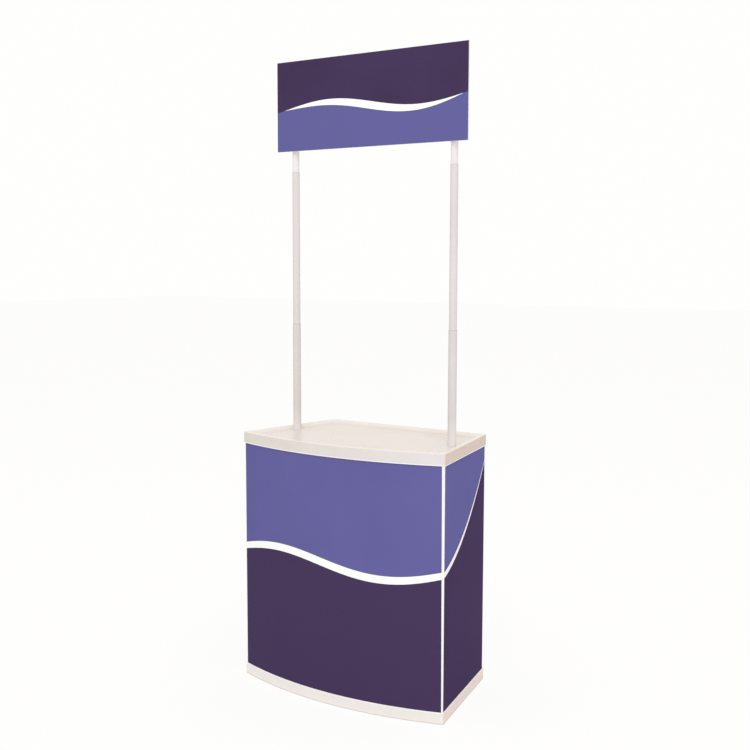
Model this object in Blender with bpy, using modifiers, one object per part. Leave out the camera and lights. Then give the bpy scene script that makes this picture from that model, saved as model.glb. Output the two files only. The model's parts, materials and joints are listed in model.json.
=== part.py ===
"""Exhibition counter: a knock-down promotion counter with a bowed front, two plug-in poles and a header sign.

Metres, +Z up. The front faces -Y. The origin is on the floor, under the middle of the counter's plan.
The plan is a trapezoid with a bowed front. Every wall, print, post, kerb and shelf edge is an inset of it.
"""

import math

import bmesh
import bpy
from mathutils import Matrix, Vector

# Plan and height of the counter
COUNTER_HEIGHT = 0.860
FRONT_WIDTH = 0.804
REAR_WIDTH = 0.638
SIDE_DEPTH = 0.422
FRONT_BULGE = 0.0685
FRONT_CORNER_RADIUS = 0.005
REAR_CORNER_RADIUS = 0.010

# Clearances: between pieces that touch, behind the flat flanges of the corner posts, and the overrun of cuts
SEAT_GAP = 0.0003
FLANGE_GAP = 0.0006
OVERRUN = 0.002
MERGE = 0.00001

# Moulded trays: the counter top and the base
TRAY_WALL = 0.0031
TOP_SKIRT = 0.039
TOP_RECESS = 0.010
TOP_RIM_WIDTH = 0.014
DECK_SLOPE_WIDTH = 0.020
DECK_CORNER_RADIUS = 0.018
TOP_EDGE_ROUND = 0.002
DECK_THICKNESS = 0.003
TOP_RIB_DEPTH = 0.015
BASE_HEIGHT = 0.038
BASE_RIM_DEPTH = 0.015
BASE_DECK_THICKNESS = 0.003
BASE_KERB_HEIGHT = 0.010
BASE_EDGE_ROUND = 0.001
KERB_THICKNESS = 0.0024
RIB_THICKNESS = 0.003
RIB_CELLS_ACROSS = 7
RIB_CELLS_DEEP = 4

# Wall sheets and the printed skins on them
PRINT_THICKNESS = 0.0005
PRINT_TUCK = 0.006
PANEL_THICKNESS = 0.003

# Corner posts at the front, square tube posts at the rear
CORNER_STRIP = 0.0048
CORNER_NOSE_RADIUS = 0.002
FLANGE_LENGTH = 0.025
FLANGE_THICKNESS = 0.0015
REAR_POST_SIZE = 0.015
REAR_POST_WALL = 0.0015
NOTCH_CLEARANCE = 0.010

# Loose shelf, its brackets and their rivets
SHELF_HEIGHT = 0.420
SHELF_THICKNESS = 0.010
SHELF_CLEARANCE = 0.003
SHELF_EDGE_ROUND = 0.001
BRACKET_WIDTH = 0.014
BRACKET_THICKNESS = 0.002
BRACKET_DROP = 0.032
BRACKET_REACH = 0.034
BRACKET_CORNER_OFFSET = 0.0165
RIVET_RADIUS = 0.0017
RIVET_HEAD_RADIUS = 0.0034
RIVET_HEAD_HEIGHT = 0.0014
RIVET_CROWN_SHARES = (0.6, 0.8)
RIVET_SPACING = 0.014
RIVET_PAIR_SHARES = (-0.5, 0.5)
RIVET_DROP = 0.019

# Poles, each a lower tube, an upper tube and the header's own tube, one inside the other.
# Heights are those that show above the deck, or above the tube below.
POLE_FRONT_OFFSET = 0.190
POLE_SIDE_OFFSET = 0.0495
LOWER_POLE_RADIUS = 0.014
POLE_WALL = 0.0008
HEADER_TUBE_WALL = 0.001
LOWER_POLE_HEIGHT = 0.375
UPPER_POLE_HEIGHT = 0.525
HEADER_TUBE_HEIGHT = 0.070
POLE_JOINT_DEPTH = 0.080
HEADER_TUBE_DEPTH = 0.060
STOP_THICKNESS = 0.012
STOP_HOLE_RADIUS = 0.004
CAP_FLANGE_THICKNESS = 0.002
CAP_PLUG_LENGTH = 0.008
CAP_CROWN_SHARE = 0.85

# Pole sockets under the deck and the screws that hold them
SOCKET_DEPTH = 0.090
SOCKET_WALL = 0.0025
SOCKET_FLOOR = 0.003
SOCKET_FLANGE_WIDTH = 0.0132
SOCKET_FLANGE_THICKNESS = 0.003
SOCKET_DRAIN_RADIUS = 0.004
SOCKET_SCREWS = 3
DECK_HOLE_CLEARANCE = 0.0005
PAD_THICKNESS = 0.005
PAD_MARGIN = 0.003
SCREW_SHANK_RADIUS = 0.0016
SCREW_HEAD_RADIUS = 0.0034
SCREW_HEAD_HEIGHT = 0.0018
SCREW_CROWN_SHARE = 0.75
SCREW_POINT_SHARE = 0.5
SOCKET_SCREW_BITE = 0.0055

# Header sign and the clips that hold it to its tubes
HEADER_WIDTH = 0.752
HEADER_HEIGHT = 0.302
HEADER_THICKNESS = 0.005
HEADER_TUBE_TOP_OFFSET = 0.020
CLIP_WALL = 0.0025
CLIP_PAD_THICKNESS = 0.003
CLIP_PAD_WIDTH = 0.056
CLIP_NECK_WIDTH = 0.010
CLIP_HEIGHT = 0.024
CLIP_EDGE_OFFSET = 0.050
CLIP_MOUTH = math.radians(100)
CLIP_SCREW_SPACING = 0.043
CLIP_SCREW_BITE = 0.0035

# Smoothness of round shapes
FRONT_STEPS = 28
CORNER_STEPS = 4
EDGE_STEPS = 2
TUBE_STEPS = 32
HIDDEN_STEPS = 20
SMALL_STEPS = 10
SMOOTH_ANGLE = math.radians(35)
NEARLY_ONE = 0.9
NEARLY_NONE = 0.1
ROUND_PROFILE_SHARE = 0.5

# Looks: colour, roughness, metallic
MOULDED_WHITE = ((0.80, 0.76, 0.70), 0.45, 0.0)
SHEET_WHITE = ((0.86, 0.85, 0.83), 0.50, 0.0)
PRINT_VIOLET = ((0.15, 0.13, 0.34), 0.40, 0.0)
POLE_WHITE = ((0.78, 0.73, 0.72), 0.35, 0.0)
TUBE_WHITE = ((0.86, 0.83, 0.82), 0.35, 0.0)
POST_WHITE = ((0.86, 0.86, 0.85), 0.35, 0.0)
SCREW_STEEL = ((0.55, 0.55, 0.56), 0.30, 1.0)

# Places worked out from the sizes
HALF_FRONT = FRONT_WIDTH / 2
HALF_REAR = REAR_WIDTH / 2
FRONT_LINE = (FRONT_BULGE - SIDE_DEPTH) / 2
REAR_LINE = (FRONT_BULGE + SIDE_DEPTH) / 2
FRONT_RADIUS = (HALF_FRONT**2 + FRONT_BULGE**2) / (2 * FRONT_BULGE)
FRONT_CENTRE = FRONT_LINE - FRONT_BULGE + FRONT_RADIUS
ALONG_SIDE = Vector((HALF_REAR - HALF_FRONT, SIDE_DEPTH)).normalized()
INTO_SIDE = Vector((-ALONG_SIDE.y, ALONG_SIDE.x))

PRINT_INSET = TRAY_WALL + SEAT_GAP
PANEL_INSET = PRINT_INSET + PRINT_THICKNESS + SEAT_GAP
KERB_INSET = PANEL_INSET + PANEL_THICKNESS + SEAT_GAP
FLANGE_INSET = PANEL_INSET + PANEL_THICKNESS + FLANGE_GAP

DECK_TOP = COUNTER_HEIGHT - TOP_RECESS
DECK_UNDERSIDE = DECK_TOP - DECK_THICKNESS
SKIRT_BOTTOM = COUNTER_HEIGHT - TOP_SKIRT
TOP_RIB_BOTTOM = DECK_UNDERSIDE - TOP_RIB_DEPTH
BASE_DECK_TOP = BASE_HEIGHT - BASE_RIM_DEPTH
WALL_BOTTOM = BASE_DECK_TOP + SEAT_GAP
WALL_TOP = DECK_UNDERSIDE - SEAT_GAP

POLE_Y = FRONT_LINE + POLE_FRONT_OFFSET
POLE_X = HALF_FRONT + ALONG_SIDE.x / ALONG_SIDE.y * POLE_FRONT_OFFSET - POLE_SIDE_OFFSET
UPPER_POLE_RADIUS = LOWER_POLE_RADIUS - POLE_WALL - SEAT_GAP
HEADER_TUBE_RADIUS = UPPER_POLE_RADIUS - POLE_WALL - SEAT_GAP
LOWER_POLE_FOOT = DECK_TOP - SOCKET_DEPTH + SEAT_GAP
LOWER_POLE_TOP = DECK_TOP + LOWER_POLE_HEIGHT
UPPER_POLE_FOOT = LOWER_POLE_TOP - POLE_JOINT_DEPTH
UPPER_POLE_TOP = LOWER_POLE_TOP + UPPER_POLE_HEIGHT
HEADER_TUBE_FOOT = UPPER_POLE_TOP - HEADER_TUBE_DEPTH
HEADER_BOTTOM = UPPER_POLE_TOP + HEADER_TUBE_HEIGHT
HEADER_TOP = HEADER_BOTTOM + HEADER_HEIGHT
HEADER_TUBE_TOP = HEADER_TOP - HEADER_TUBE_TOP_OFFSET

PAD_BOTTOM = DECK_UNDERSIDE - PAD_THICKNESS
SOCKET_FLANGE_TOP = PAD_BOTTOM - SEAT_GAP
SOCKET_RADIUS = LOWER_POLE_RADIUS + SEAT_GAP + SOCKET_WALL
SOCKET_FLANGE_RADIUS = SOCKET_RADIUS + SOCKET_FLANGE_WIDTH
SOCKET_SCREW_CIRCLE = (SOCKET_RADIUS + SOCKET_FLANGE_RADIUS) / 2
PAD_RADIUS = SOCKET_FLANGE_RADIUS + PAD_MARGIN

CLIP_INNER_RADIUS = HEADER_TUBE_RADIUS + SEAT_GAP
CLIP_OUTER_RADIUS = CLIP_INNER_RADIUS + CLIP_WALL
CLIP_PAD_FRONT = POLE_Y - CLIP_OUTER_RADIUS - CLIP_PAD_THICKNESS
HEADER_BACK = CLIP_PAD_FRONT - SEAT_GAP
HEADER_FRONT = HEADER_BACK - HEADER_THICKNESS


def start_scene():
    """Empties the scene and makes a collection for the counter and one for the cutters."""
    for old in list(bpy.data.objects):
        bpy.data.objects.remove(old)
    made = []
    for name in ("exhibition_counter", "cutters"):
        collection = bpy.data.collections.new(name)
        bpy.context.scene.collection.children.link(collection)
        made.append(collection)
    return made


COUNTER, CUTTERS = start_scene()


def paint(piece, look):
    """Gives a piece its own material."""
    colour, roughness, metallic = look
    material = bpy.data.materials.new(f"{piece.name}_finish")
    material.use_nodes = True
    shader = material.node_tree.nodes["Principled BSDF"]
    shader.inputs["Base Color"].default_value = (*colour, 1.0)
    shader.inputs["Roughness"].default_value = roughness
    shader.inputs["Metallic"].default_value = metallic
    material.diffuse_color = (*colour, 1.0)
    piece.data.materials.clear()
    piece.data.materials.append(material)


def place(name, mesh, look, location=(0, 0, 0)):
    """Links a mesh as a piece of the counter, or as a cutter where it has no look."""
    piece = bpy.data.objects.new(name, mesh)
    piece.location = location
    if look is None:
        CUTTERS.objects.link(piece)
        piece.hide_render = True
        piece.display_type = "WIRE"
        return piece
    COUNTER.objects.link(piece)
    mesh.shade_smooth()
    mesh.set_sharp_from_angle(angle=SMOOTH_ANGLE)
    paint(piece, look)
    return piece


def boolean(piece, operation, *tools):
    """Cuts, joins or intersects a piece with other meshes."""
    for tool in tools:
        step = piece.modifiers.new(tool.name, "BOOLEAN")
        step.operation = operation
        step.solver = "EXACT"
        step.object = tool


def cut(piece, *tools):
    boolean(piece, "DIFFERENCE", *tools)


# Plan geometry


def side_point(inset, y):
    """Point at depth y on the right-hand side line, moved inwards by inset."""
    start = Vector((HALF_FRONT, FRONT_LINE)) + INTO_SIDE * inset
    return start + ALONG_SIDE * ((y - start.y) / ALONG_SIDE.y)


def front_corner(inset):
    """Right-hand corner where the inset front arc meets the inset side line."""
    centre = Vector((0, FRONT_CENTRE))
    start = Vector((HALF_FRONT, FRONT_LINE)) + INTO_SIDE * inset - centre
    half_b = start.dot(ALONG_SIDE)
    rest = start.length_squared - (FRONT_RADIUS - inset) ** 2
    return centre + start + ALONG_SIDE * (-half_b - math.sqrt(half_b**2 - rest))


def corner_angle(inset):
    """Angle of the right-hand front corner about the front arc's centre."""
    return math.asin(front_corner(inset).x / (FRONT_RADIUS - inset))


def front_arc(inset, half_angle):
    """Points of the front arc, from left to right."""
    radius = FRONT_RADIUS - inset
    angles = [half_angle * (2 * i / FRONT_STEPS - 1) for i in range(FRONT_STEPS + 1)]
    return [Vector((radius * math.sin(a), FRONT_CENTRE - radius * math.cos(a))) for a in angles]


def round_corner(before, corner, after, radius):
    """Points that round a convex corner of an outline that runs anticlockwise."""
    if radius <= 0:
        return [corner]
    back = (before - corner).normalized()
    ahead = (after - corner).normalized()
    half = back.angle(ahead) / 2
    centre = corner + (back + ahead).normalized() * (radius / math.sin(half))
    arm = corner + back * (radius / math.tan(half)) - centre
    sweep = math.pi - 2 * half
    return [centre + Matrix.Rotation(sweep * i / CORNER_STEPS, 2) @ arm for i in range(CORNER_STEPS + 1)]


def mirrored(points):
    """The same points on the left-hand side, in the order that keeps an outline anticlockwise."""
    return [Vector((-p.x, p.y)) for p in reversed(points)]


def plan(inset, least_radius=0):
    """The counter's outline, moved inwards by inset, with corners of no less than a radius."""
    arc = front_arc(inset, corner_angle(inset))
    front = arc[-1]
    rear = side_point(inset, REAR_LINE - inset)
    rear_left = Vector((-rear.x, rear.y))
    right = round_corner(arc[-2], front, rear, max(FRONT_CORNER_RADIUS - inset, least_radius))
    right += round_corner(front, rear, rear_left, max(REAR_CORNER_RADIUS - inset, least_radius))
    return arc[1:-1] + right + mirrored(right)


# Shapes


def flat_mesh(name, outline, low, high, holes=()):
    """Mesh of a flat outline that is extruded from low to high, about the middle of its height."""
    curve = bpy.data.curves.new(name, "CURVE")
    curve.dimensions = "2D"
    curve.fill_mode = "BOTH"
    curve.extrude = (high - low) / 2
    for ring in (outline, *holes):
        spline = curve.splines.new("POLY")
        spline.points.add(len(ring) - 1)
        spline.use_cyclic_u = True
        for point, place_on_plan in zip(spline.points, ring):
            point.co = (place_on_plan[0], place_on_plan[1], 0, 1)
    holder = bpy.data.objects.new(name, curve)
    bpy.context.scene.collection.objects.link(holder)
    bpy.context.view_layer.update()
    graph = bpy.context.evaluated_depsgraph_get()
    mesh = bpy.data.meshes.new_from_object(holder.evaluated_get(graph))
    bpy.data.objects.remove(holder)
    bpy.data.curves.remove(curve)
    mesh.name = name
    shape = bmesh.new()
    shape.from_mesh(mesh)
    bmesh.ops.remove_doubles(shape, verts=shape.verts, dist=MERGE)
    bmesh.ops.dissolve_limit(shape, angle_limit=MERGE, verts=shape.verts, edges=shape.edges)
    bmesh.ops.recalc_face_normals(shape, faces=shape.faces)
    shape.to_mesh(mesh)
    shape.free()
    return mesh


def flat_solid(name, outline, low, high, look=None, holes=()):
    """A flat outline extruded between two heights."""
    mesh = flat_mesh(name, outline, low, high, holes)
    return place(name, mesh, look, (0, 0, (low + high) / 2))


def tapered_cutter(name, lower, low, upper, high):
    """A solid cutter between two flat outlines that have the same number of points."""
    mesh = bpy.data.meshes.new(name)
    shape = bmesh.new()
    feet = [shape.verts.new((p.x, p.y, low)) for p in lower]
    heads = [shape.verts.new((p.x, p.y, high)) for p in upper]
    shape.faces.new(feet[::-1])
    shape.faces.new(heads)
    for i in range(len(feet)):
        shape.faces.new((feet[i - 1], feet[i], heads[i], heads[i - 1]))
    shape.to_mesh(mesh)
    shape.free()
    return place(name, mesh, None)


def round_rim(piece, radius, steps):
    """Rounds the upper rim of an extruded outline."""
    shape = bmesh.new()
    shape.from_mesh(piece.data)
    rim = [
        e
        for e in shape.edges
        if any(f.normal.z > NEARLY_ONE for f in e.link_faces)
        and any(abs(f.normal.z) < NEARLY_NONE for f in e.link_faces)
    ]
    bmesh.ops.bevel(
        shape,
        geom=rim,
        offset=radius,
        segments=steps,
        profile=ROUND_PROFILE_SHARE,
        affect="EDGES",
    )
    shape.to_mesh(piece.data)
    shape.free()


def boxes(name, spans, look=None):
    """Boxes, each given by its lowest and highest corner, in one object."""
    mesh = bpy.data.meshes.new(name)
    shape = bmesh.new()
    for low, high in spans:
        low, high = Vector(low), Vector(high)
        size = high - low
        scale = Matrix.Diagonal((size.x, size.y, size.z, 1))
        bmesh.ops.create_cube(shape, size=1, matrix=Matrix.Translation((low + high) / 2) @ scale)
    shape.to_mesh(mesh)
    shape.free()
    return place(name, mesh, look)


def rods(name, ends, radius, steps):
    """Round cutters, each given by its two ends, in one object."""
    mesh = bpy.data.meshes.new(name)
    shape = bmesh.new()
    for start, end in ends:
        start, end = Vector(start), Vector(end)
        turn = (end - start).to_track_quat("Z", "Y").to_matrix().to_4x4()
        bmesh.ops.create_cone(
            shape,
            cap_ends=True,
            segments=steps,
            radius1=radius,
            radius2=radius,
            depth=(end - start).length,
            matrix=Matrix.Translation((start + end) / 2) @ turn,
        )
    shape.to_mesh(mesh)
    shape.free()
    return place(name, mesh, None)


def turned(name, profile, steps, look, location, ring=False, direction=(0, 0, 1)):
    """A profile of radius and height turned about an axis that starts at location and runs in direction."""
    mesh = bpy.data.meshes.new(name)
    count = len(profile)
    edges = [(i, i + 1) for i in range(count - 1)]
    if ring:
        edges.append((count - 1, 0))
    mesh.from_pydata([(radius, 0, height) for radius, height in profile], edges, [])
    piece = place(name, mesh, look, location)
    piece.rotation_euler = Vector(direction).to_track_quat("Z", "Y").to_euler()
    screw = piece.modifiers.new("turn", "SCREW")
    screw.axis = "Z"
    screw.angle = 2 * math.pi
    screw.steps = steps
    screw.render_steps = steps
    screw.use_merge_vertices = True
    screw.merge_threshold = MERGE
    screw.use_smooth_shade = True
    return piece


def tube(name, radius, wall, span, side, look):
    """An upright round tube on the axis of a pole, between two heights."""
    low, high = span
    profile = [(radius - wall, high - low), (radius, high - low), (radius, 0), (radius - wall, 0)]
    return turned(name, profile, TUBE_STEPS, look, (side * POLE_X, POLE_Y, low), ring=True)


def upright_sheet(name, path, thickness, low, high, look):
    """A standing sheet whose outer face follows a path on the plan, with the outside on the path's right."""
    mesh = bpy.data.meshes.new(name)
    shape = bmesh.new()
    feet = [shape.verts.new((p.x, p.y, low)) for p in path]
    edges = [shape.edges.new(pair) for pair in zip(feet, feet[1:])]
    raised = bmesh.ops.extrude_edge_only(shape, edges=edges)["geom"]
    bmesh.ops.translate(
        shape, verts=[v for v in raised if isinstance(v, bmesh.types.BMVert)], vec=(0, 0, high - low)
    )
    shape.normal_update()
    outside = (path[1] - path[0]).orthogonal()
    if shape.faces[:][0].normal.xy.dot(-outside) < 0:
        bmesh.ops.reverse_faces(shape, faces=shape.faces)
    shape.to_mesh(mesh)
    shape.free()
    piece = place(name, mesh, look)
    solid = piece.modifiers.new("thickness", "SOLIDIFY")
    solid.thickness = thickness
    solid.offset = -1
    solid.use_even_offset = True
    return piece


# Construction lines that several pieces share

PRINT_CORNER = front_corner(PRINT_INSET)
PRINT_CORNER_ANGLE = corner_angle(PRINT_INSET)
ALONG_FRONT = Vector((-math.cos(PRINT_CORNER_ANGLE), -math.sin(PRINT_CORNER_ANGLE)))
INTO_FRONT = Vector((-math.sin(PRINT_CORNER_ANGLE), math.cos(PRINT_CORNER_ANGLE)))
SHEET_START = CORNER_STRIP + SEAT_GAP
SHEET_HALF_ANGLE = PRINT_CORNER_ANGLE - SHEET_START / FRONT_RADIUS
SHEET_END = REAR_LINE - REAR_CORNER_RADIUS
REAR_POST_CORNER = side_point(KERB_INSET, SHEET_END)


def side_path(inset):
    """Outer face of a side sheet, from the corner post to the rounded rear corner of the trays."""
    front = PRINT_CORNER + ALONG_SIDE * SHEET_START + INTO_SIDE * (inset - PRINT_INSET)
    return [front, side_point(inset, SHEET_END)]


def for_side(points, side):
    """Points of the right-hand side as they are, or mirrored to the left."""
    return points if side > 0 else mirrored(points)


def rib_cells(name, inset, low, high):
    """The hollows between the ribs of a tray, cut off by an inset of the plan."""
    pitch_x = FRONT_WIDTH / RIB_CELLS_ACROSS
    pitch_y = (REAR_LINE - FRONT_LINE + FRONT_BULGE) / RIB_CELLS_DEEP
    spans = []
    for i in range(RIB_CELLS_ACROSS):
        for j in range(RIB_CELLS_DEEP):
            x = i * pitch_x - HALF_FRONT + RIB_THICKNESS / 2
            y = j * pitch_y - REAR_LINE + RIB_THICKNESS / 2
            spans.append(((x, y, low), (x + pitch_x - RIB_THICKNESS, y + pitch_y - RIB_THICKNESS, high)))
    cells = boxes(name, spans)
    border = flat_solid(f"{name}_border", plan(inset), low - OVERRUN, high + OVERRUN)
    boolean(cells, "INTERSECT", border)
    return cells


def post_notches(name, low, high):
    """Gaps in a tray's inner kerb, where the corner posts and the rear posts stand."""
    reach = FLANGE_LENGTH + NOTCH_CLEARANCE
    rear = SHEET_END - REAR_POST_SIZE - NOTCH_CLEARANCE
    spans = [((-HALF_FRONT, rear, low), (HALF_FRONT, REAR_LINE + OVERRUN, high))]
    for side in (-1, 1):
        xs = sorted((side * (HALF_FRONT - reach), side * (HALF_FRONT + OVERRUN)))
        spans.append(((xs[0], FRONT_LINE - reach, low), (xs[1], FRONT_LINE + reach, high)))
    return boxes(name, spans)


# Pieces


def make_base():
    """Moulded base tray: the walls stand on its deck, between its rim and an inner kerb."""
    base = flat_solid("base_tray", plan(0), 0, BASE_HEIGHT, MOULDED_WHITE)
    round_rim(base, BASE_EDGE_ROUND, EDGE_STEPS)
    well = flat_solid("base_well", plan(TRAY_WALL), BASE_DECK_TOP, BASE_HEIGHT + OVERRUN)
    kerb_top = BASE_DECK_TOP + BASE_KERB_HEIGHT
    kerb_holes = [plan(KERB_INSET + KERB_THICKNESS)]
    kerb = flat_solid("base_kerb", plan(KERB_INSET), BASE_DECK_TOP - OVERRUN, kerb_top, holes=kerb_holes)
    cut(kerb, post_notches("base_notches", BASE_DECK_TOP - 2 * OVERRUN, kerb_top + OVERRUN))
    cut(well, kerb)
    cells = rib_cells("base_cells", TRAY_WALL, -OVERRUN, BASE_DECK_TOP - BASE_DECK_THICKNESS)
    cut(base, well, cells)
    return [base]


def make_panels():
    """White wall sheets: one bowed front sheet and two flat side sheets."""
    front_path = front_arc(PANEL_INSET, SHEET_HALF_ANGLE)
    pieces = [upright_sheet("front_panel", front_path, PANEL_THICKNESS, WALL_BOTTOM, WALL_TOP, SHEET_WHITE)]
    for side, word in ((-1, "left"), (1, "right")):
        path = for_side(side_path(PANEL_INSET), side)
        name = f"side_panel_{word}"
        pieces.append(upright_sheet(name, path, PANEL_THICKNESS, WALL_BOTTOM, WALL_TOP, SHEET_WHITE))
    return pieces


def make_prints():
    """Thin printed skins on the wall sheets, tucked a little way behind the tray rims."""
    low = BASE_HEIGHT - PRINT_TUCK
    high = SKIRT_BOTTOM + PRINT_TUCK
    front_path = front_arc(PRINT_INSET, SHEET_HALF_ANGLE)
    pieces = [upright_sheet("front_graphic", front_path, PRINT_THICKNESS, low, high, PRINT_VIOLET)]
    for side, word in ((-1, "left"), (1, "right")):
        path = for_side(side_path(PRINT_INSET), side)
        pieces.append(upright_sheet(f"side_graphic_{word}", path, PRINT_THICKNESS, low, high, PRINT_VIOLET))
    return pieces


def make_corner_posts():
    """Extruded corner posts: a narrow nose between the sheets, and a flat flange behind each sheet."""
    web = FLANGE_INSET - PRINT_INSET
    back = web + FLANGE_THICKNESS
    corner = PRINT_CORNER
    turn = ALONG_FRONT.x * ALONG_SIDE.y - ALONG_FRONT.y * ALONG_SIDE.x
    offset = (INTO_SIDE - INTO_FRONT) * back
    inner = corner + INTO_FRONT * back + ALONG_FRONT * (
        (offset.x * ALONG_SIDE.y - offset.y * ALONG_SIDE.x) / turn
    )
    front_nose = corner + ALONG_FRONT * CORNER_STRIP
    side_nose = corner + ALONG_SIDE * CORNER_STRIP
    outline = round_corner(front_nose, corner, side_nose, CORNER_NOSE_RADIUS)
    outline += [
        side_nose,
        side_nose + INTO_SIDE * web,
        corner + ALONG_SIDE * FLANGE_LENGTH + INTO_SIDE * web,
        corner + ALONG_SIDE * FLANGE_LENGTH + INTO_SIDE * back,
        inner,
        corner + ALONG_FRONT * FLANGE_LENGTH + INTO_FRONT * back,
        corner + ALONG_FRONT * FLANGE_LENGTH + INTO_FRONT * web,
        front_nose + INTO_FRONT * web,
        front_nose,
    ]
    return [
        flat_solid(f"corner_post_{word}", for_side(outline, side), WALL_BOTTOM, WALL_TOP, POST_WHITE)
        for side, word in ((-1, "left"), (1, "right"))
    ]


def square(corner, size, inset):
    """A square that lies along the side line, with its outer rear corner given, moved inwards by inset."""
    start = corner + (INTO_SIDE - ALONG_SIDE) * inset
    inwards = INTO_SIDE * (size - 2 * inset)
    forwards = ALONG_SIDE * (2 * inset - size)
    return [start, start + inwards, start + inwards + forwards, start + forwards]


def make_rear_posts():
    """Square tube posts inside the rear edges of the side sheets."""
    outer = square(REAR_POST_CORNER, REAR_POST_SIZE, 0)
    bore = square(REAR_POST_CORNER, REAR_POST_SIZE, REAR_POST_WALL)
    pieces = []
    for side, word in ((-1, "left"), (1, "right")):
        holes = [for_side(bore, side)]
        name = f"rear_post_{word}"
        pieces.append(flat_solid(name, for_side(outer, side), WALL_BOTTOM, WALL_TOP, POST_WHITE, holes))
    return pieces


def bracket_places():
    """Each right-hand bracket's name, the post that carries it, and the middle of its seat there."""
    front = PRINT_CORNER + ALONG_SIDE * BRACKET_CORNER_OFFSET
    front += INTO_SIDE * (FLANGE_INSET - PRINT_INSET + FLANGE_THICKNESS + SEAT_GAP)
    rear = REAR_POST_CORNER - ALONG_SIDE * (REAR_POST_SIZE / 2) + INTO_SIDE * (REAR_POST_SIZE + SEAT_GAP)
    return (("front", "corner_post", front), ("rear", "rear_post", rear))


def make_brackets(posts):
    """Angle brackets on the posts, each held by two rivets; the shelf lies on them."""
    shelf_seat = SHELF_HEIGHT - SEAT_GAP
    crown_out, crown_up = RIVET_CROWN_SHARES
    profile = [
        Vector((0, 0)),
        Vector((0, -BRACKET_DROP)),
        Vector((BRACKET_THICKNESS, -BRACKET_DROP)),
        Vector((BRACKET_THICKNESS, -BRACKET_THICKNESS)),
        Vector((BRACKET_REACH, -BRACKET_THICKNESS)),
        Vector((BRACKET_REACH, 0)),
    ]
    pieces = []
    for side, hand in ((-1, "left"), (1, "right")):
        flip = Matrix.Diagonal((side, 1, 1, 1))
        for end, post_name, seat in bracket_places():
            name = f"shelf_bracket_{end}_{hand}"
            mesh = flat_mesh(name, profile, -BRACKET_WIDTH / 2, BRACKET_WIDTH / 2)
            stand = Matrix(
                (
                    (INTO_SIDE.x, 0, -ALONG_SIDE.x, seat.x),
                    (INTO_SIDE.y, 0, -ALONG_SIDE.y, seat.y),
                    (0, 1, 0, shelf_seat),
                    (0, 0, 0, 1),
                )
            )
            mesh.transform(flip @ stand)
            if side < 0:
                mesh.flip_normals()
            bracket = place(name, mesh, SCREW_STEEL)
            into = (flip @ INTO_SIDE.to_3d()).normalized()
            heights = [shelf_seat - RIVET_DROP + share * RIVET_SPACING for share in RIVET_PAIR_SHARES]
            seats = [flip @ Vector((seat.x, seat.y, z)) for z in heights]
            grip = FLANGE_THICKNESS + SEAT_GAP
            ends = [(p - into * (grip + OVERRUN), p + into * (BRACKET_THICKNESS + OVERRUN)) for p in seats]
            drill = rods(f"{name}_drill", ends, RIVET_RADIUS + SEAT_GAP, SMALL_STEPS)
            cut(bracket, drill)
            cut(posts[f"{post_name}_{hand}"], drill)
            pieces.append(bracket)
            under_head = BRACKET_THICKNESS + SEAT_GAP
            rivet = [
                (0, under_head + RIVET_HEAD_HEIGHT),
                (RIVET_HEAD_RADIUS * crown_out, under_head + RIVET_HEAD_HEIGHT * crown_up),
                (RIVET_HEAD_RADIUS, under_head),
                (RIVET_RADIUS, under_head),
                (RIVET_RADIUS, -grip),
                (0, -grip),
            ]
            for number, point in enumerate(seats, 1):
                rivet_name = f"bracket_rivet_{end}_{hand}_{number}"
                pieces.append(turned(rivet_name, rivet, SMALL_STEPS, SCREW_STEEL, point, direction=into))
    return pieces


def make_shelf():
    """Loose shelf that lies on the brackets, notched round the rear posts."""
    inset = FLANGE_INSET + FLANGE_THICKNESS + SHELF_CLEARANCE
    arc = front_arc(inset, corner_angle(inset))
    notch_y = (REAR_POST_CORNER - ALONG_SIDE * (REAR_POST_SIZE + SHELF_CLEARANCE)).y
    notch_start = side_point(inset, notch_y)
    notch_depth = KERB_INSET + REAR_POST_SIZE + SHELF_CLEARANCE - inset
    notch_end = notch_start + INTO_SIDE * notch_depth
    rear_y = REAR_LINE - inset
    rear = notch_end + ALONG_SIDE * ((rear_y - notch_end.y) / ALONG_SIDE.y)
    right = [notch_start, notch_end, rear]
    outline = arc + right + mirrored(right)
    shelf = flat_solid("shelf", outline, SHELF_HEIGHT, SHELF_HEIGHT + SHELF_THICKNESS, SHEET_WHITE)
    round_rim(shelf, SHELF_EDGE_ROUND, 1)
    return [shelf]


def screw_circle(side):
    """Places of the socket's screws on the plan."""
    for i in range(SOCKET_SCREWS):
        angle = 2 * math.pi * i / SOCKET_SCREWS + math.pi / 2
        reach = SOCKET_SCREW_CIRCLE * Vector((math.cos(angle), math.sin(angle)))
        yield side * POLE_X + reach.x, POLE_Y + reach.y


def screw_profile(grip, bite):
    """Pan-head screw, head below: its seat is at height zero and its point is at grip plus bite."""
    tip = grip + bite
    return [
        (0, tip),
        (SCREW_SHANK_RADIUS * SCREW_POINT_SHARE, tip),
        (SCREW_SHANK_RADIUS, tip - SCREW_SHANK_RADIUS),
        (SCREW_SHANK_RADIUS, 0),
        (SCREW_HEAD_RADIUS, 0),
        (SCREW_HEAD_RADIUS * SCREW_CROWN_SHARE, -SCREW_HEAD_HEIGHT),
        (0, -SCREW_HEAD_HEIGHT),
    ]


def column(side, low, high):
    """Two ends of an upright line on the axis of a pole."""
    return (side * POLE_X, POLE_Y, low), (side * POLE_X, POLE_Y, high)


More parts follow.
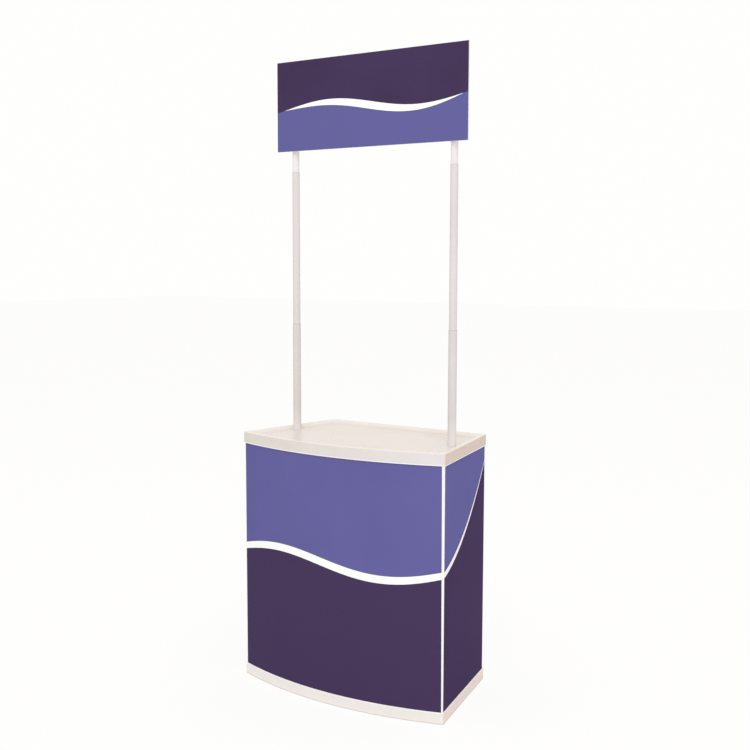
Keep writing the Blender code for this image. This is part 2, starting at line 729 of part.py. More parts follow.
def make_top():
    """Moulded counter top: a recessed deck in a raised rim, with a skirt, ribs and socket pads below."""
    top = flat_solid("counter_top", plan(0), SKIRT_BOTTOM, COUNTER_HEIGHT, MOULDED_WHITE)
    round_rim(top, TOP_EDGE_ROUND, EDGE_STEPS)
    deck_plan = plan(TOP_RIM_WIDTH + DECK_SLOPE_WIDTH, DECK_CORNER_RADIUS)
    flare = DECK_SLOPE_WIDTH * (TOP_RECESS + OVERRUN) / TOP_RECESS
    mouth_plan = plan(TOP_RIM_WIDTH + DECK_SLOPE_WIDTH - flare, DECK_CORNER_RADIUS)
    recess = tapered_cutter("deck_recess", deck_plan, DECK_TOP, mouth_plan, COUNTER_HEIGHT + OVERRUN)
    lattice = flat_solid("top_lattice", plan(KERB_INSET), TOP_RIB_BOTTOM, DECK_UNDERSIDE + OVERRUN)
    cells_inset = KERB_INSET + KERB_THICKNESS
    cells = rib_cells("top_cells", cells_inset, TOP_RIB_BOTTOM - OVERRUN, DECK_UNDERSIDE + 2 * OVERRUN)
    notches = post_notches("top_notches", TOP_RIB_BOTTOM - OVERRUN, DECK_UNDERSIDE + 2 * OVERRUN)
    room_ends = [column(side, TOP_RIB_BOTTOM - OVERRUN, DECK_UNDERSIDE + 2 * OVERRUN) for side in (-1, 1)]
    room = rods("socket_room", room_ends, PAD_RADIUS + SEAT_GAP, HIDDEN_STEPS)
    cut(lattice, cells, notches, room)
    pad_ends = [column(side, PAD_BOTTOM, DECK_UNDERSIDE + OVERRUN) for side in (-1, 1)]
    pads = rods("socket_pads", pad_ends, PAD_RADIUS, HIDDEN_STEPS)
    hollow = flat_solid("top_hollow", plan(TRAY_WALL), SKIRT_BOTTOM - OVERRUN, DECK_UNDERSIDE)
    cut(hollow, lattice, pads)
    hole_ends = [column(side, PAD_BOTTOM - OVERRUN, DECK_TOP + OVERRUN) for side in (-1, 1)]
    holes = rods("pole_holes", hole_ends, LOWER_POLE_RADIUS + DECK_HOLE_CLEARANCE, TUBE_STEPS)
    pilot_top = PAD_BOTTOM + SOCKET_SCREW_BITE + SEAT_GAP
    spots = [spot for side in (-1, 1) for spot in screw_circle(side)]
    pilot_ends = [((x, y, PAD_BOTTOM - OVERRUN), (x, y, pilot_top)) for x, y in spots]
    pilots = rods("socket_pilots", pilot_ends, SCREW_SHANK_RADIUS + SEAT_GAP, SMALL_STEPS)
    cut(top, recess, hollow, holes, pilots)
    return [top]


def make_sockets():
    """Pole sockets: a flanged sleeve with a floor, screwed up under the deck."""
    bore = LOWER_POLE_RADIUS + SEAT_GAP
    floor_top = LOWER_POLE_FOOT - SEAT_GAP - SOCKET_FLANGE_TOP
    floor_bottom = floor_top - SOCKET_FLOOR
    profile = [
        (bore, 0),
        (SOCKET_FLANGE_RADIUS, 0),
        (SOCKET_FLANGE_RADIUS, -SOCKET_FLANGE_THICKNESS),
        (SOCKET_RADIUS, -SOCKET_FLANGE_THICKNESS),
        (SOCKET_RADIUS, floor_bottom),
        (SOCKET_DRAIN_RADIUS, floor_bottom),
        (SOCKET_DRAIN_RADIUS, floor_top),
        (bore, floor_top),
    ]
    flange_bottom = SOCKET_FLANGE_TOP - SOCKET_FLANGE_THICKNESS
    grip = SOCKET_FLANGE_THICKNESS + 2 * SEAT_GAP
    pieces = []
    for side, word in ((-1, "left"), (1, "right")):
        name = f"pole_socket_{word}"
        mouth = (side * POLE_X, POLE_Y, SOCKET_FLANGE_TOP)
        socket = turned(name, profile, HIDDEN_STEPS, MOULDED_WHITE, mouth, ring=True)
        spots = list(screw_circle(side))
        ends = [((x, y, flange_bottom - OVERRUN), (x, y, SOCKET_FLANGE_TOP + OVERRUN)) for x, y in spots]
        cut(socket, rods(f"{name}_drill", ends, SCREW_SHANK_RADIUS + SEAT_GAP, SMALL_STEPS))
        pieces.append(socket)
        shape = screw_profile(grip, SOCKET_SCREW_BITE - SEAT_GAP)
        for number, (x, y) in enumerate(spots, 1):
            seat = (x, y, flange_bottom - SEAT_GAP)
            name = f"socket_screw_{word}_{number}"
            pieces.append(turned(name, shape, SMALL_STEPS, SCREW_STEEL, seat))
    return pieces


def stop_plug(name, radius, top, side):
    """Ring-shaped plug fixed inside a tube, on which the tube above stands."""
    profile = [
        (STOP_HOLE_RADIUS, 0),
        (radius, 0),
        (radius, -STOP_THICKNESS),
        (STOP_HOLE_RADIUS, -STOP_THICKNESS),
    ]
    return turned(name, profile, HIDDEN_STEPS, MOULDED_WHITE, (side * POLE_X, POLE_Y, top), ring=True)


def make_lower_poles():
    """Lower tubes, which stand in the sockets, each with a stop plug for the upper tube."""
    pieces = []
    for side, word in ((-1, "left"), (1, "right")):
        span = (LOWER_POLE_FOOT, LOWER_POLE_TOP)
        pieces.append(tube(f"lower_pole_{word}", LOWER_POLE_RADIUS, POLE_WALL, span, side, POLE_WHITE))
        pieces.append(stop_plug(f"pole_stop_{word}", UPPER_POLE_RADIUS, UPPER_POLE_FOOT - SEAT_GAP, side))
    return pieces


def make_upper_poles():
    """Upper tubes, each with a stop plug for the header's tube."""
    pieces = []
    for side, word in ((-1, "left"), (1, "right")):
        span = (UPPER_POLE_FOOT, UPPER_POLE_TOP)
        pieces.append(tube(f"upper_pole_{word}", UPPER_POLE_RADIUS, POLE_WALL, span, side, POLE_WHITE))
        pieces.append(stop_plug(f"header_stop_{word}", HEADER_TUBE_RADIUS, HEADER_TUBE_FOOT - SEAT_GAP, side))
    return pieces


def arc(centre, radius, first, last):
    """Points of an arc about a centre, from one angle to another."""
    steps = round(abs(last - first) / (2 * math.pi) * TUBE_STEPS)
    angles = [first + (last - first) * i / steps for i in range(steps + 1)]
    return [centre + radius * Vector((math.cos(a), math.sin(a))) for a in angles]


def clip_outline(side):
    """Plan of a spring clip: a ring that is open to the rear round the header's tube, on a flat pad."""
    centre = Vector((side * POLE_X, POLE_Y))
    mouth = CLIP_MOUTH / 2
    neck = math.asin(CLIP_NECK_WIDTH / 2 / CLIP_OUTER_RADIUS)
    seat = centre - Vector((0, CLIP_OUTER_RADIUS))
    across = Vector((CLIP_PAD_WIDTH / 2, 0))
    beside = Vector((CLIP_NECK_WIDTH / 2, 0))
    front = seat - Vector((0, CLIP_PAD_THICKNESS))
    pad = [seat - beside, seat - across, front - across, front + across, seat + across, seat + beside]
    left_arm = arc(centre, CLIP_OUTER_RADIUS, math.pi / 2 + mouth, 3 * math.pi / 2 - neck)
    right_arm = arc(centre, CLIP_OUTER_RADIUS, 3 * math.pi / 2 + neck, 5 * math.pi / 2 - mouth)
    inside = arc(centre, CLIP_INNER_RADIUS, 5 * math.pi / 2 - mouth, math.pi / 2 + mouth)
    return left_arm + pad + right_arm + inside


def make_header():
    """Header sign: tubes that plug into the poles, a board on four clips, and its printed skin."""
    half = HEADER_WIDTH / 2
    board_span = ((-half, HEADER_FRONT, HEADER_BOTTOM), (half, HEADER_BACK, HEADER_TOP))
    board = boxes("header_board", [board_span], SHEET_WHITE)
    print_back = HEADER_FRONT - SEAT_GAP
    skin_span = ((-half, print_back - PRINT_THICKNESS, HEADER_BOTTOM), (half, print_back, HEADER_TOP))
    skin = boxes("header_graphic", [skin_span], PRINT_VIOLET)
    pieces = [board, skin]
    screw_seat = CLIP_PAD_FRONT + CLIP_PAD_THICKNESS
    levels = (("lower", HEADER_BOTTOM + CLIP_EDGE_OFFSET), ("upper", HEADER_TOP - CLIP_EDGE_OFFSET))
    shape = screw_profile(CLIP_PAD_THICKNESS + 2 * SEAT_GAP, CLIP_SCREW_BITE)
    bottom_of_pilot = HEADER_BACK - CLIP_SCREW_BITE - SEAT_GAP
    for side, hand in ((-1, "left"), (1, "right")):
        x = side * POLE_X
        span = (HEADER_TUBE_FOOT, HEADER_TUBE_TOP)
        name = f"header_tube_{hand}"
        pieces.append(tube(name, HEADER_TUBE_RADIUS, HEADER_TUBE_WALL, span, side, TUBE_WHITE))
        plug_radius = HEADER_TUBE_RADIUS - HEADER_TUBE_WALL - SEAT_GAP
        cap = [
            (0, CAP_FLANGE_THICKNESS),
            (HEADER_TUBE_RADIUS * CAP_CROWN_SHARE, CAP_FLANGE_THICKNESS),
            (HEADER_TUBE_RADIUS, CAP_FLANGE_THICKNESS / 2),
            (HEADER_TUBE_RADIUS, 0),
            (plug_radius, 0),
            (plug_radius, -CAP_PLUG_LENGTH),
            (0, -CAP_PLUG_LENGTH),
        ]
        seat = (x, POLE_Y, HEADER_TUBE_TOP + SEAT_GAP)
        pieces.append(turned(f"header_tube_cap_{hand}", cap, TUBE_STEPS, MOULDED_WHITE, seat))
        for level, z in levels:
            name = f"header_clip_{level}_{hand}"
            low, high = z - CLIP_HEIGHT / 2, z + CLIP_HEIGHT / 2
            clip = flat_solid(name, clip_outline(side), low, high, MOULDED_WHITE)
            spots = [x - CLIP_SCREW_SPACING / 2, x + CLIP_SCREW_SPACING / 2]
            ends = [((s, screw_seat + OVERRUN, z), (s, bottom_of_pilot, z)) for s in spots]
            drill = rods(f"{name}_drill", ends, SCREW_SHANK_RADIUS + SEAT_GAP, SMALL_STEPS)
            cut(clip, drill)
            cut(board, drill)
            pieces.append(clip)
            for number, spot in enumerate(spots, 1):
                screw_name = f"clip_screw_{level}_{hand}_{number}"
                seat = (spot, screw_seat + SEAT_GAP, z)
                pieces.append(turned(screw_name, shape, SMALL_STEPS, SCREW_STEEL, seat, direction=(0, -1, 0)))
    return pieces


def carrier(name, location, pieces, parent=None):
    """Empty on the axis along which a group of pieces lifts; the pieces hang on it."""
    empty = bpy.data.objects.new(name, None)
    empty.location = location
    COUNTER.objects.link(empty)
    if parent is not None:
        empty.parent = parent
        empty.location = Vector(location) - parent.matrix_world.translation
    bpy.context.view_layer.update()
    for piece in pieces:
        piece.parent = empty
        piece.matrix_parent_inverse = empty.matrix_world.inverted()
    return empty


def main():
    base = carrier("base", (0, 0, 0), make_base())
    posts = {post.name: post for post in make_corner_posts() + make_rear_posts()}
    wall_pieces = make_panels() + make_prints() + list(posts.values()) + make_brackets(posts)
    walls = carrier("walls", (0, 0, WALL_BOTTOM), wall_pieces, base)
    carrier("loose_shelf", (0, 0, SHELF_HEIGHT), make_shelf(), walls)
    top = carrier("top", (0, 0, WALL_TOP), make_top() + make_sockets(), walls)
    lower = carrier("lower_poles", (0, POLE_Y, LOWER_POLE_FOOT), make_lower_poles(), top)
    upper = carrier("upper_poles", (0, POLE_Y, UPPER_POLE_FOOT), make_upper_poles(), lower)
    carrier("header", (0, POLE_Y, HEADER_TUBE_FOOT), make_header(), upper)


main()
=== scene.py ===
"""Looks of the exhibition counter: mouldings, printed skins, painted tubes, fasteners, studio and camera.

Metres, +Z up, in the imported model's frame. The bowed front faces -Y.
"""

import json
import math

import bmesh
import bpy
from mathutils import Matrix, Vector


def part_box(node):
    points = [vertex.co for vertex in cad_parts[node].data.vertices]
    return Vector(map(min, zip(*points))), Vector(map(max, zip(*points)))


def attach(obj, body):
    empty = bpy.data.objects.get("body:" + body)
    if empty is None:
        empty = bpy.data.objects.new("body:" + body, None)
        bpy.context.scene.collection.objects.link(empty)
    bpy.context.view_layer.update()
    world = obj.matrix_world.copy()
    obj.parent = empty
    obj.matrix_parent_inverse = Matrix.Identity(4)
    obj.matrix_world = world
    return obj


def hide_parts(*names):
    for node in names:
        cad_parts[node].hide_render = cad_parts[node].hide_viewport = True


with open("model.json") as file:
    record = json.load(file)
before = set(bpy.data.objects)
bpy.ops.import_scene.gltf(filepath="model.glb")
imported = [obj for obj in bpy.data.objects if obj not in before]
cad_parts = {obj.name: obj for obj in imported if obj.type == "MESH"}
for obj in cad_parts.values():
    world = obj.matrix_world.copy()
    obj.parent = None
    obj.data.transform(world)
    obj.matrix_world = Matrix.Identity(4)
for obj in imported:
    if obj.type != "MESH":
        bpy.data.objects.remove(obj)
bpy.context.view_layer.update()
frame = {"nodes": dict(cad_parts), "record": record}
NODES = frame["nodes"]

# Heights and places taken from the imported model
RIM_HEIGHT = 0.010
DECK_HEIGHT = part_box("counter_top")[1].z - RIM_HEIGHT
SKIRT_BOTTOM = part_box("counter_top")[0].z
BASE_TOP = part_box("base_tray")[1].z
LOWER_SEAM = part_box("lower_pole_right")[1].z
UPPER_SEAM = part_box("upper_pole_right")[1].z
FRONT_SKIN_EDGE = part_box("front_graphic")[1].x
TOP_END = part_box("counter_top")[1].x
SIDE_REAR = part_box("side_panel_right")[1].y

# Colours of the finishes, in linear light
TOP_WHITE = (0.728, 0.663, 0.603)
# Upright faces of the top carry painted shade: darker and greener at the left end, lighter and bluer at the
# right
SKIRT_SHADED_LEFT_WHITE = (0.672, 0.648, 0.576)
SKIRT_LIT_RIGHT_WHITE = (0.714, 0.690, 0.708)
# Aged tones of the mouldings, also used as painted shade on their end faces
TOP_AGED_AND_SHADED = (0.674, 0.523, 0.432)
BASE_WHITE = (0.848, 0.812, 0.785)
# Painted shade on the base's upright faces, darker towards the right end
BASE_SHADED_RIGHT_WHITE = (0.798, 0.784, 0.748)
BASE_AGED_AND_SHADED = (0.826, 0.690, 0.635)
SHEET_WHITE = (0.850, 0.832, 0.808)
POST_WHITE = (0.920, 0.905, 0.895)
LOWER_POLE_WHITE = (0.681, 0.632, 0.632)
UPPER_POLE_WHITE = (0.702, 0.657, 0.655)
TUBE_WHITE = (0.800, 0.762, 0.772)
# White of the prints, also used for painted highlights on mouldings and tubes
PRINT_AND_HIGHLIGHT_WHITE = (0.930, 0.930, 0.900)
FRONT_VIOLET = (0.127, 0.119, 0.328)
FRONT_PURPLE = (0.0605, 0.0385, 0.0975)
# Side inks are the front's inks with painted light and shade: the violet lighter, the purple darker, for
# the side's light
SIDE_LIGHTENED_VIOLET = (0.131, 0.128, 0.348)
SIDE_DARKENED_PURPLE = (0.0557, 0.0316, 0.0955)
# Header inks are the front's inks with painted shade, darker to offset the stronger light on the header
HEADER_SHADED_VIOLET = (0.1200, 0.1140, 0.3110)
HEADER_SHADED_PURPLE = (0.0540, 0.0325, 0.0815)
ZINC = (0.560, 0.570, 0.580)
DUST = (0.560, 0.520, 0.470)
# Dark tone for painted shade at tube joints, a painted shadow along the floor and darker specks on moulding
# ends
SHADE_AND_GRIME = (0.260, 0.225, 0.205)


# Shader building


def feed(tree, value, socket):
    """Wires a socket to another, or sets it to a plain value."""
    if isinstance(value, bpy.types.NodeSocket):
        tree.links.new(value, socket)
    else:
        socket.default_value = value


def put(tree, kind, inputs=(), **settings):
    """Adds a shader node with its settings and feeds its inputs."""
    made = tree.nodes.new(kind)
    for key, value in settings.items():
        setattr(made, key, value)
    for key, value in dict(inputs).items():
        feed(tree, value, made.inputs[key])
    return made


def reckon(tree, operation, *values, clamp=False):
    """Arithmetic on numbers or sockets."""
    made = put(tree, "ShaderNodeMath", operation=operation, use_clamp=clamp)
    for socket, value in zip(made.inputs, values):
        feed(tree, value, socket)
    return made.outputs[0]


def ramp(tree, value, low, high, to_low=0.0, to_high=1.0):
    """Carries a value from one span to another, clamped."""
    inputs = {"Value": value, "From Min": low, "From Max": high, "To Min": to_low, "To Max": to_high}
    return put(tree, "ShaderNodeMapRange", inputs).outputs["Result"]


def noise(tree, place, scale, detail=2.0, roughness=0.5):
    """Cloudy value between about 0.25 and 0.75."""
    inputs = {"Vector": place, "Scale": scale, "Detail": detail, "Roughness": roughness}
    return put(tree, "ShaderNodeTexNoise", inputs).outputs["Fac"]


def tint(tree, share, first, second):
    """Mixes two colours by a share, each a plain colour or a socket."""
    made = put(tree, "ShaderNodeMix", data_type="RGBA")
    for number, value in ((0, share), (6, first), (7, second)):
        if isinstance(value, tuple):
            value = (*value, 1.0)
        feed(tree, value, made.inputs[number])
    return made.outputs[2]


def object_place(tree):
    """The point on the piece, in metres."""
    return put(tree, "ShaderNodeTexCoord").outputs["Object"]


def axes(tree, place):
    """The three coordinates of a point."""
    split = put(tree, "ShaderNodeSeparateXYZ", {0: place})
    return split.outputs["X"], split.outputs["Y"], split.outputs["Z"]


def start_group(name, takes, gives):
    """A shader group with named inputs, each with its usual value, and named outputs."""
    tree = bpy.data.node_groups.new(name, "ShaderNodeTree")
    for label, value in takes.items():
        socket = tree.interface.new_socket(label, in_out="INPUT", socket_type="NodeSocketFloat")
        socket.default_value = value
    for label, kind in gives.items():
        tree.interface.new_socket(label, in_out="OUTPUT", socket_type=f"NodeSocket{kind}")
    inside = tree.nodes.new("NodeGroupInput")
    outside = tree.nodes.new("NodeGroupOutput")
    return tree, inside.outputs, outside.inputs


def use(tree, group, **values):
    """Places a group in a material with its own values; gives its outputs."""
    made = put(tree, "ShaderNodeGroup", node_tree=group)
    for label, value in values.items():
        feed(tree, value, made.inputs[label.replace("_", " ")])
    return made.outputs


# Effects that several finishes share

# Scales of their noise, in lumps to the metre, and the spans over which a mask runs from nothing to full
CLOUD_SPAN = (0.3, 0.7)
RIPPLES_PER_MOTTLE = 0.35
RIPPLE_LIFT = 4.0
WORN_EDGE_TURN = (0.995, 0.85)
WORN_PATCH_SCALE = 38.0
WORN_PATCH_SPAN = (0.40, 0.62)
HAIRLINE_SPAN = (0.66, 0.74)
HAIRLINE_PATCH_SCALE = 17.0
HAIRLINE_PATCH_SPAN = (0.48, 0.66)
DUST_FACING = (0.75, 0.98)
DUST_CLOUD_SCALE = 11.0
DUST_CLOUD_SPAN = (0.35, 0.70)
DUST_SPECK_SCALE = 700.0
DUST_SPECK_SPAN = (0.60, 0.72)
DUST_SPECK_SHARE = 0.6
ROLLER_LINE_SCALE = 260.0
FILM_CLOUD_SCALE = 4.0
FILM_SCREEN_SCALE = 1500.0
FILM_SCREEN_SHARE = 0.3
FILM_TONE_SPAN = (0.45, 0.85)
BLOOM_SCALE = 160.0
BLOOM_SPAN = (0.35, 0.65)


def make_moulded_skin():
    """Spark-eroded grain of a mould, and the slow mottle of a large moulding."""
    tree, takes, gives = start_group(
        "moulded_skin", {"grain size": 0.0006, "mottle size": 0.12}, {"height": "Float", "mottle": "Float"}
    )
    place = object_place(tree)
    pebble = noise(tree, place, reckon(tree, "DIVIDE", 1.0, takes["grain size"]), roughness=0.6)
    ripple = noise(tree, place, reckon(tree, "DIVIDE", RIPPLES_PER_MOTTLE, takes["mottle size"]))
    feed(tree, reckon(tree, "MULTIPLY_ADD", ripple, RIPPLE_LIFT, pebble), gives["height"])
    mottle_scale = reckon(tree, "DIVIDE", 1.0, takes["mottle size"])
    clouds = noise(tree, place, mottle_scale, detail=4.0, roughness=0.6)
    feed(tree, ramp(tree, clouds, *CLOUD_SPAN), gives["mottle"])
    return tree


def make_worn_edges():
    """Outer edges that hands and packing have worn, broken up along their length."""
    tree, takes, gives = start_group("worn_edges", {"reach": 0.001, "amount": 0.5}, {"worn": "Float"})
    rounded = put(tree, "ShaderNodeBevel", {"Radius": takes["reach"]}, samples=4).outputs["Normal"]
    facing = put(tree, "ShaderNodeNewGeometry").outputs["Normal"]
    turned = put(tree, "ShaderNodeVectorMath", {0: rounded, 1: facing}, operation="DOT_PRODUCT")
    edge = ramp(tree, turned.outputs["Value"], *WORN_EDGE_TURN)
    patches = noise(tree, object_place(tree), WORN_PATCH_SCALE, detail=4.0, roughness=0.7)
    highlight_height = reckon(tree, "MULTIPLY", edge, ramp(tree, patches, *WORN_PATCH_SPAN))
    feed(tree, reckon(tree, "MULTIPLY", highlight_height, takes["amount"], clamp=True), gives["worn"])
    return tree


def make_hairlines():
    """Fine scratches of handling, along the height or across it."""
    tree, takes, gives = start_group(
        "hairlines", {"across": 900.0, "along": 14.0, "amount": 0.5}, {"scratch": "Float"}
    )
    x, y, z = axes(tree, object_place(tree))
    stretched = put(
        tree,
        "ShaderNodeCombineXYZ",
        {
            "X": reckon(tree, "MULTIPLY", x, takes["across"]),
            "Y": reckon(tree, "MULTIPLY", y, takes["across"]),
            "Z": reckon(tree, "MULTIPLY", z, takes["along"]),
        },
    ).outputs["Vector"]
    lines = ramp(tree, noise(tree, stretched, 1.0), *HAIRLINE_SPAN)
    patches = noise(tree, object_place(tree), HAIRLINE_PATCH_SCALE, detail=3.0)
    kept = reckon(tree, "MULTIPLY", lines, ramp(tree, patches, *HAIRLINE_PATCH_SPAN))
    feed(tree, reckon(tree, "MULTIPLY", kept, takes["amount"], clamp=True), gives["scratch"])
    return tree


def make_settled_dust():
    """Dust on faces that look up, thicker in patches."""
    tree, takes, gives = start_group("settled_dust", {"amount": 0.3}, {"dust": "Float"})
    facing = put(tree, "ShaderNodeNewGeometry").outputs["Normal"]
    upward = ramp(tree, axes(tree, facing)[2], *DUST_FACING)
    place = object_place(tree)
    clouds = noise(tree, place, DUST_CLOUD_SCALE, detail=4.0, roughness=0.6)
    clouds = ramp(tree, clouds, *DUST_CLOUD_SPAN)
    clouds = reckon(tree, "MULTIPLY", clouds, 1 - DUST_SPECK_SHARE)
    specks = ramp(tree, noise(tree, place, DUST_SPECK_SCALE), *DUST_SPECK_SPAN)
    laid = reckon(tree, "MULTIPLY_ADD", specks, DUST_SPECK_SHARE, clouds)
    settled = reckon(tree, "MULTIPLY", laid, upward)
    feed(tree, reckon(tree, "MULTIPLY", settled, takes["amount"]), gives["dust"])
    return tree


def make_laminate():
    """Matt laminate over a print: a fine pebble, faint roller lines and a slow change of tone."""
    tree, takes, gives = start_group(
        "laminate", {"pebble size": 0.0004, "roller lines": 1.0}, {"height": "Float", "tone": "Float"}
    )
    place = object_place(tree)
    pebble = noise(tree, place, reckon(tree, "DIVIDE", 1.0, takes["pebble size"]))
    height = reckon(tree, "MULTIPLY", axes(tree, place)[2], ROLLER_LINE_SCALE)
    stretched = put(tree, "ShaderNodeCombineXYZ", {"Z": height}).outputs["Vector"]
    lines = reckon(tree, "MULTIPLY", noise(tree, stretched, 1.0, detail=1.0), takes["roller lines"])
    feed(tree, reckon(tree, "ADD", pebble, lines), gives["height"])
    clouds = noise(tree, place, FILM_CLOUD_SCALE, detail=3.0)
    screen = noise(tree, place, FILM_SCREEN_SCALE, detail=0.0)
    tone = reckon(tree, "MULTIPLY_ADD", screen, FILM_SCREEN_SHARE, clouds)
    feed(tree, ramp(tree, tone, *FILM_TONE_SPAN), gives["tone"])
    return tree


def make_stripe_wave():
    """A white band that swings across a print: masks of the field above it and of the band itself.

    The band's upper edge is at middle + slope a + bend a a + swing sin(turn a + start), where a is measured
    from centre. The band is widest at band centre and narrows to nothing at band reach from it.
    """
    takes = {
        "along": 0.0,
        "height": 0.0,
        "centre": 0.0,
        "middle": 0.0,
        "slope": 0.0,
        "bend": 0.0,
        "swing": 0.0,
        "turn": 0.0,
        "start": 0.0,
        "band": 0.025,
        "band centre": 0.0,
        "band reach": 1.0,
        "taper": 2.0,
        "softness": 0.0002,
    }
    tree, takes, gives = start_group("stripe_wave", takes, {"above": "Float", "band": "Float"})
    a = reckon(tree, "SUBTRACT", takes["along"], takes["centre"])
    line = reckon(tree, "MULTIPLY_ADD", a, takes["slope"], takes["middle"])
    line = reckon(tree, "MULTIPLY_ADD", reckon(tree, "MULTIPLY", a, a), takes["bend"], line)
    wave = reckon(tree, "SINE", reckon(tree, "MULTIPLY_ADD", a, takes["turn"], takes["start"]))
    line = reckon(tree, "MULTIPLY_ADD", wave, takes["swing"], line)
    off = reckon(tree, "ABSOLUTE", reckon(tree, "SUBTRACT", takes["along"], takes["band centre"]))
    share = reckon(tree, "POWER", reckon(tree, "DIVIDE", off, takes["band reach"]), takes["taper"])
    width = reckon(tree, "MULTIPLY", reckon(tree, "SUBTRACT", 1.0, share, clamp=True), takes["band"])
    over = reckon(tree, "DIVIDE", reckon(tree, "SUBTRACT", takes["height"], line), takes["softness"])
    under = reckon(tree, "DIVIDE", width, takes["softness"])
    above = reckon(tree, "ADD", over, 0.5, clamp=True)
    above_foot = reckon(tree, "ADD", reckon(tree, "ADD", over, under), 0.5, clamp=True)
    feed(tree, above, gives["above"])
    feed(tree, reckon(tree, "SUBTRACT", above_foot, above, clamp=True), gives["band"])
    return tree


def make_brushed_plate():
    """Tumbled and plated steel: short fine marks and a cloudy bloom."""
    tree, takes, gives = start_group(
        "brushed_plate", {"mark size": 0.0005}, {"height": "Float", "bloom": "Float"}
    )
    place = object_place(tree)
    mark_scale = reckon(tree, "DIVIDE", 1.0, takes["mark size"])
    feed(tree, noise(tree, place, mark_scale, detail=3.0, roughness=0.7), gives["height"])
    bloom = noise(tree, place, BLOOM_SCALE, detail=3.0, roughness=0.6)
    feed(tree, ramp(tree, bloom, *BLOOM_SPAN), gives["bloom"])
    return tree


MOULDED_SKIN = make_moulded_skin()
WORN_EDGES = make_worn_edges()
HAIRLINES = make_hairlines()
SETTLED_DUST = make_settled_dust()
LAMINATE = make_laminate()
STRIPE_WAVE = make_stripe_wave()
BRUSHED_PLATE = make_brushed_plate()


# Finishes

# Mouldings: where each effect shows and how strong it is
SHADED_END_FACING = (0.80, 0.97)
SHADED_UPRIGHT_FACING = (0.1, 0.7)
MOTTLE_AGE = 0.25
# Painted highlight on the upward faces of the rim above the deck
RIM_HIGHLIGHT_RISE = 0.006
RIM_HIGHLIGHT_FACING = (0.2, 0.8)
RIM_HIGHLIGHT_SHARE = 0.3
# End faces darker in specks, more so towards the rear
DARK_SPECK_SCALE = 190.0
DARK_SPECK_SPAN = (0.40, 0.62)
DARK_BETWEEN_SPECKS = 0.25
END_DARKENING_AT_FRONT = 0.04
END_DARKENING_AT_REAR = 0.24
# Painted highlight line along an outer edge of a moulding
HIGHLIGHT_LINE_SHARE = 0.75
WORN_SHARE = 0.5
SCRATCH_SHARE = 0.3
# Painted contact shadow where a moulding stands on the floor
FLOOR_SHADOW_SPAN = (0.0045, 0.0015)
FLOOR_SHADOW_SHARE = 0.35

# Painted tubes
PEEL_SCALE = 620.0
PAINT_CLOUD_SCALE = 6.0
PAINT_SHADE = 0.94
# Painted highlight at the foot of a pole, standing in for light off the deck
FOOT_HIGHLIGHT_HEIGHT = 0.09
FOOT_HIGHLIGHT_SHARE = 0.5
# Painted shade where one tube enters another
SEAM_SPAN = (0.0024, 0.0006)
SEAM_SHADE = 0.15

# Sheets, films and plating
SHEET_SHADE = 0.93
SHEET_SCRATCH_SHARE = 0.35
INK_SHADE = 0.8
INK_MOTTLE = 0.10
FILM_FACING = (0.35, 0.55)
FILM_SCRATCH_SHARE = 0.12
ZINC_SHADE = 0.78


def start_finish(name, specular=0.5):
    """A material with one Principled shader; gives the material, its tree and the shader's inputs."""
    finish = bpy.data.materials.new(name)
    finish.use_nodes = True
    tree = finish.node_tree
    shader = tree.nodes["Principled BSDF"]
    shader.inputs["Specular IOR Level"].default_value = specular
    return finish, tree, shader.inputs


def emboss(tree, height, distance, strength):
    """Turns a height into a normal."""
    inputs = {"Height": height, "Distance": distance, "Strength": strength}
    return put(tree, "ShaderNodeBump", inputs).outputs["Normal"]


def shaded(colour, shade):
    """A darker tone of a colour."""
    return tuple(shade * part for part in colour)


def roughen(tree, shader, plain, *changes):
    """Feeds the roughness from its plain value and from masks, each with the change where it is full."""
    rough = plain
    for mask, change in changes:
        rough = reckon(tree, "MULTIPLY_ADD", mask, change, rough, clamp=True)
    feed(tree, rough, shader["Roughness"])


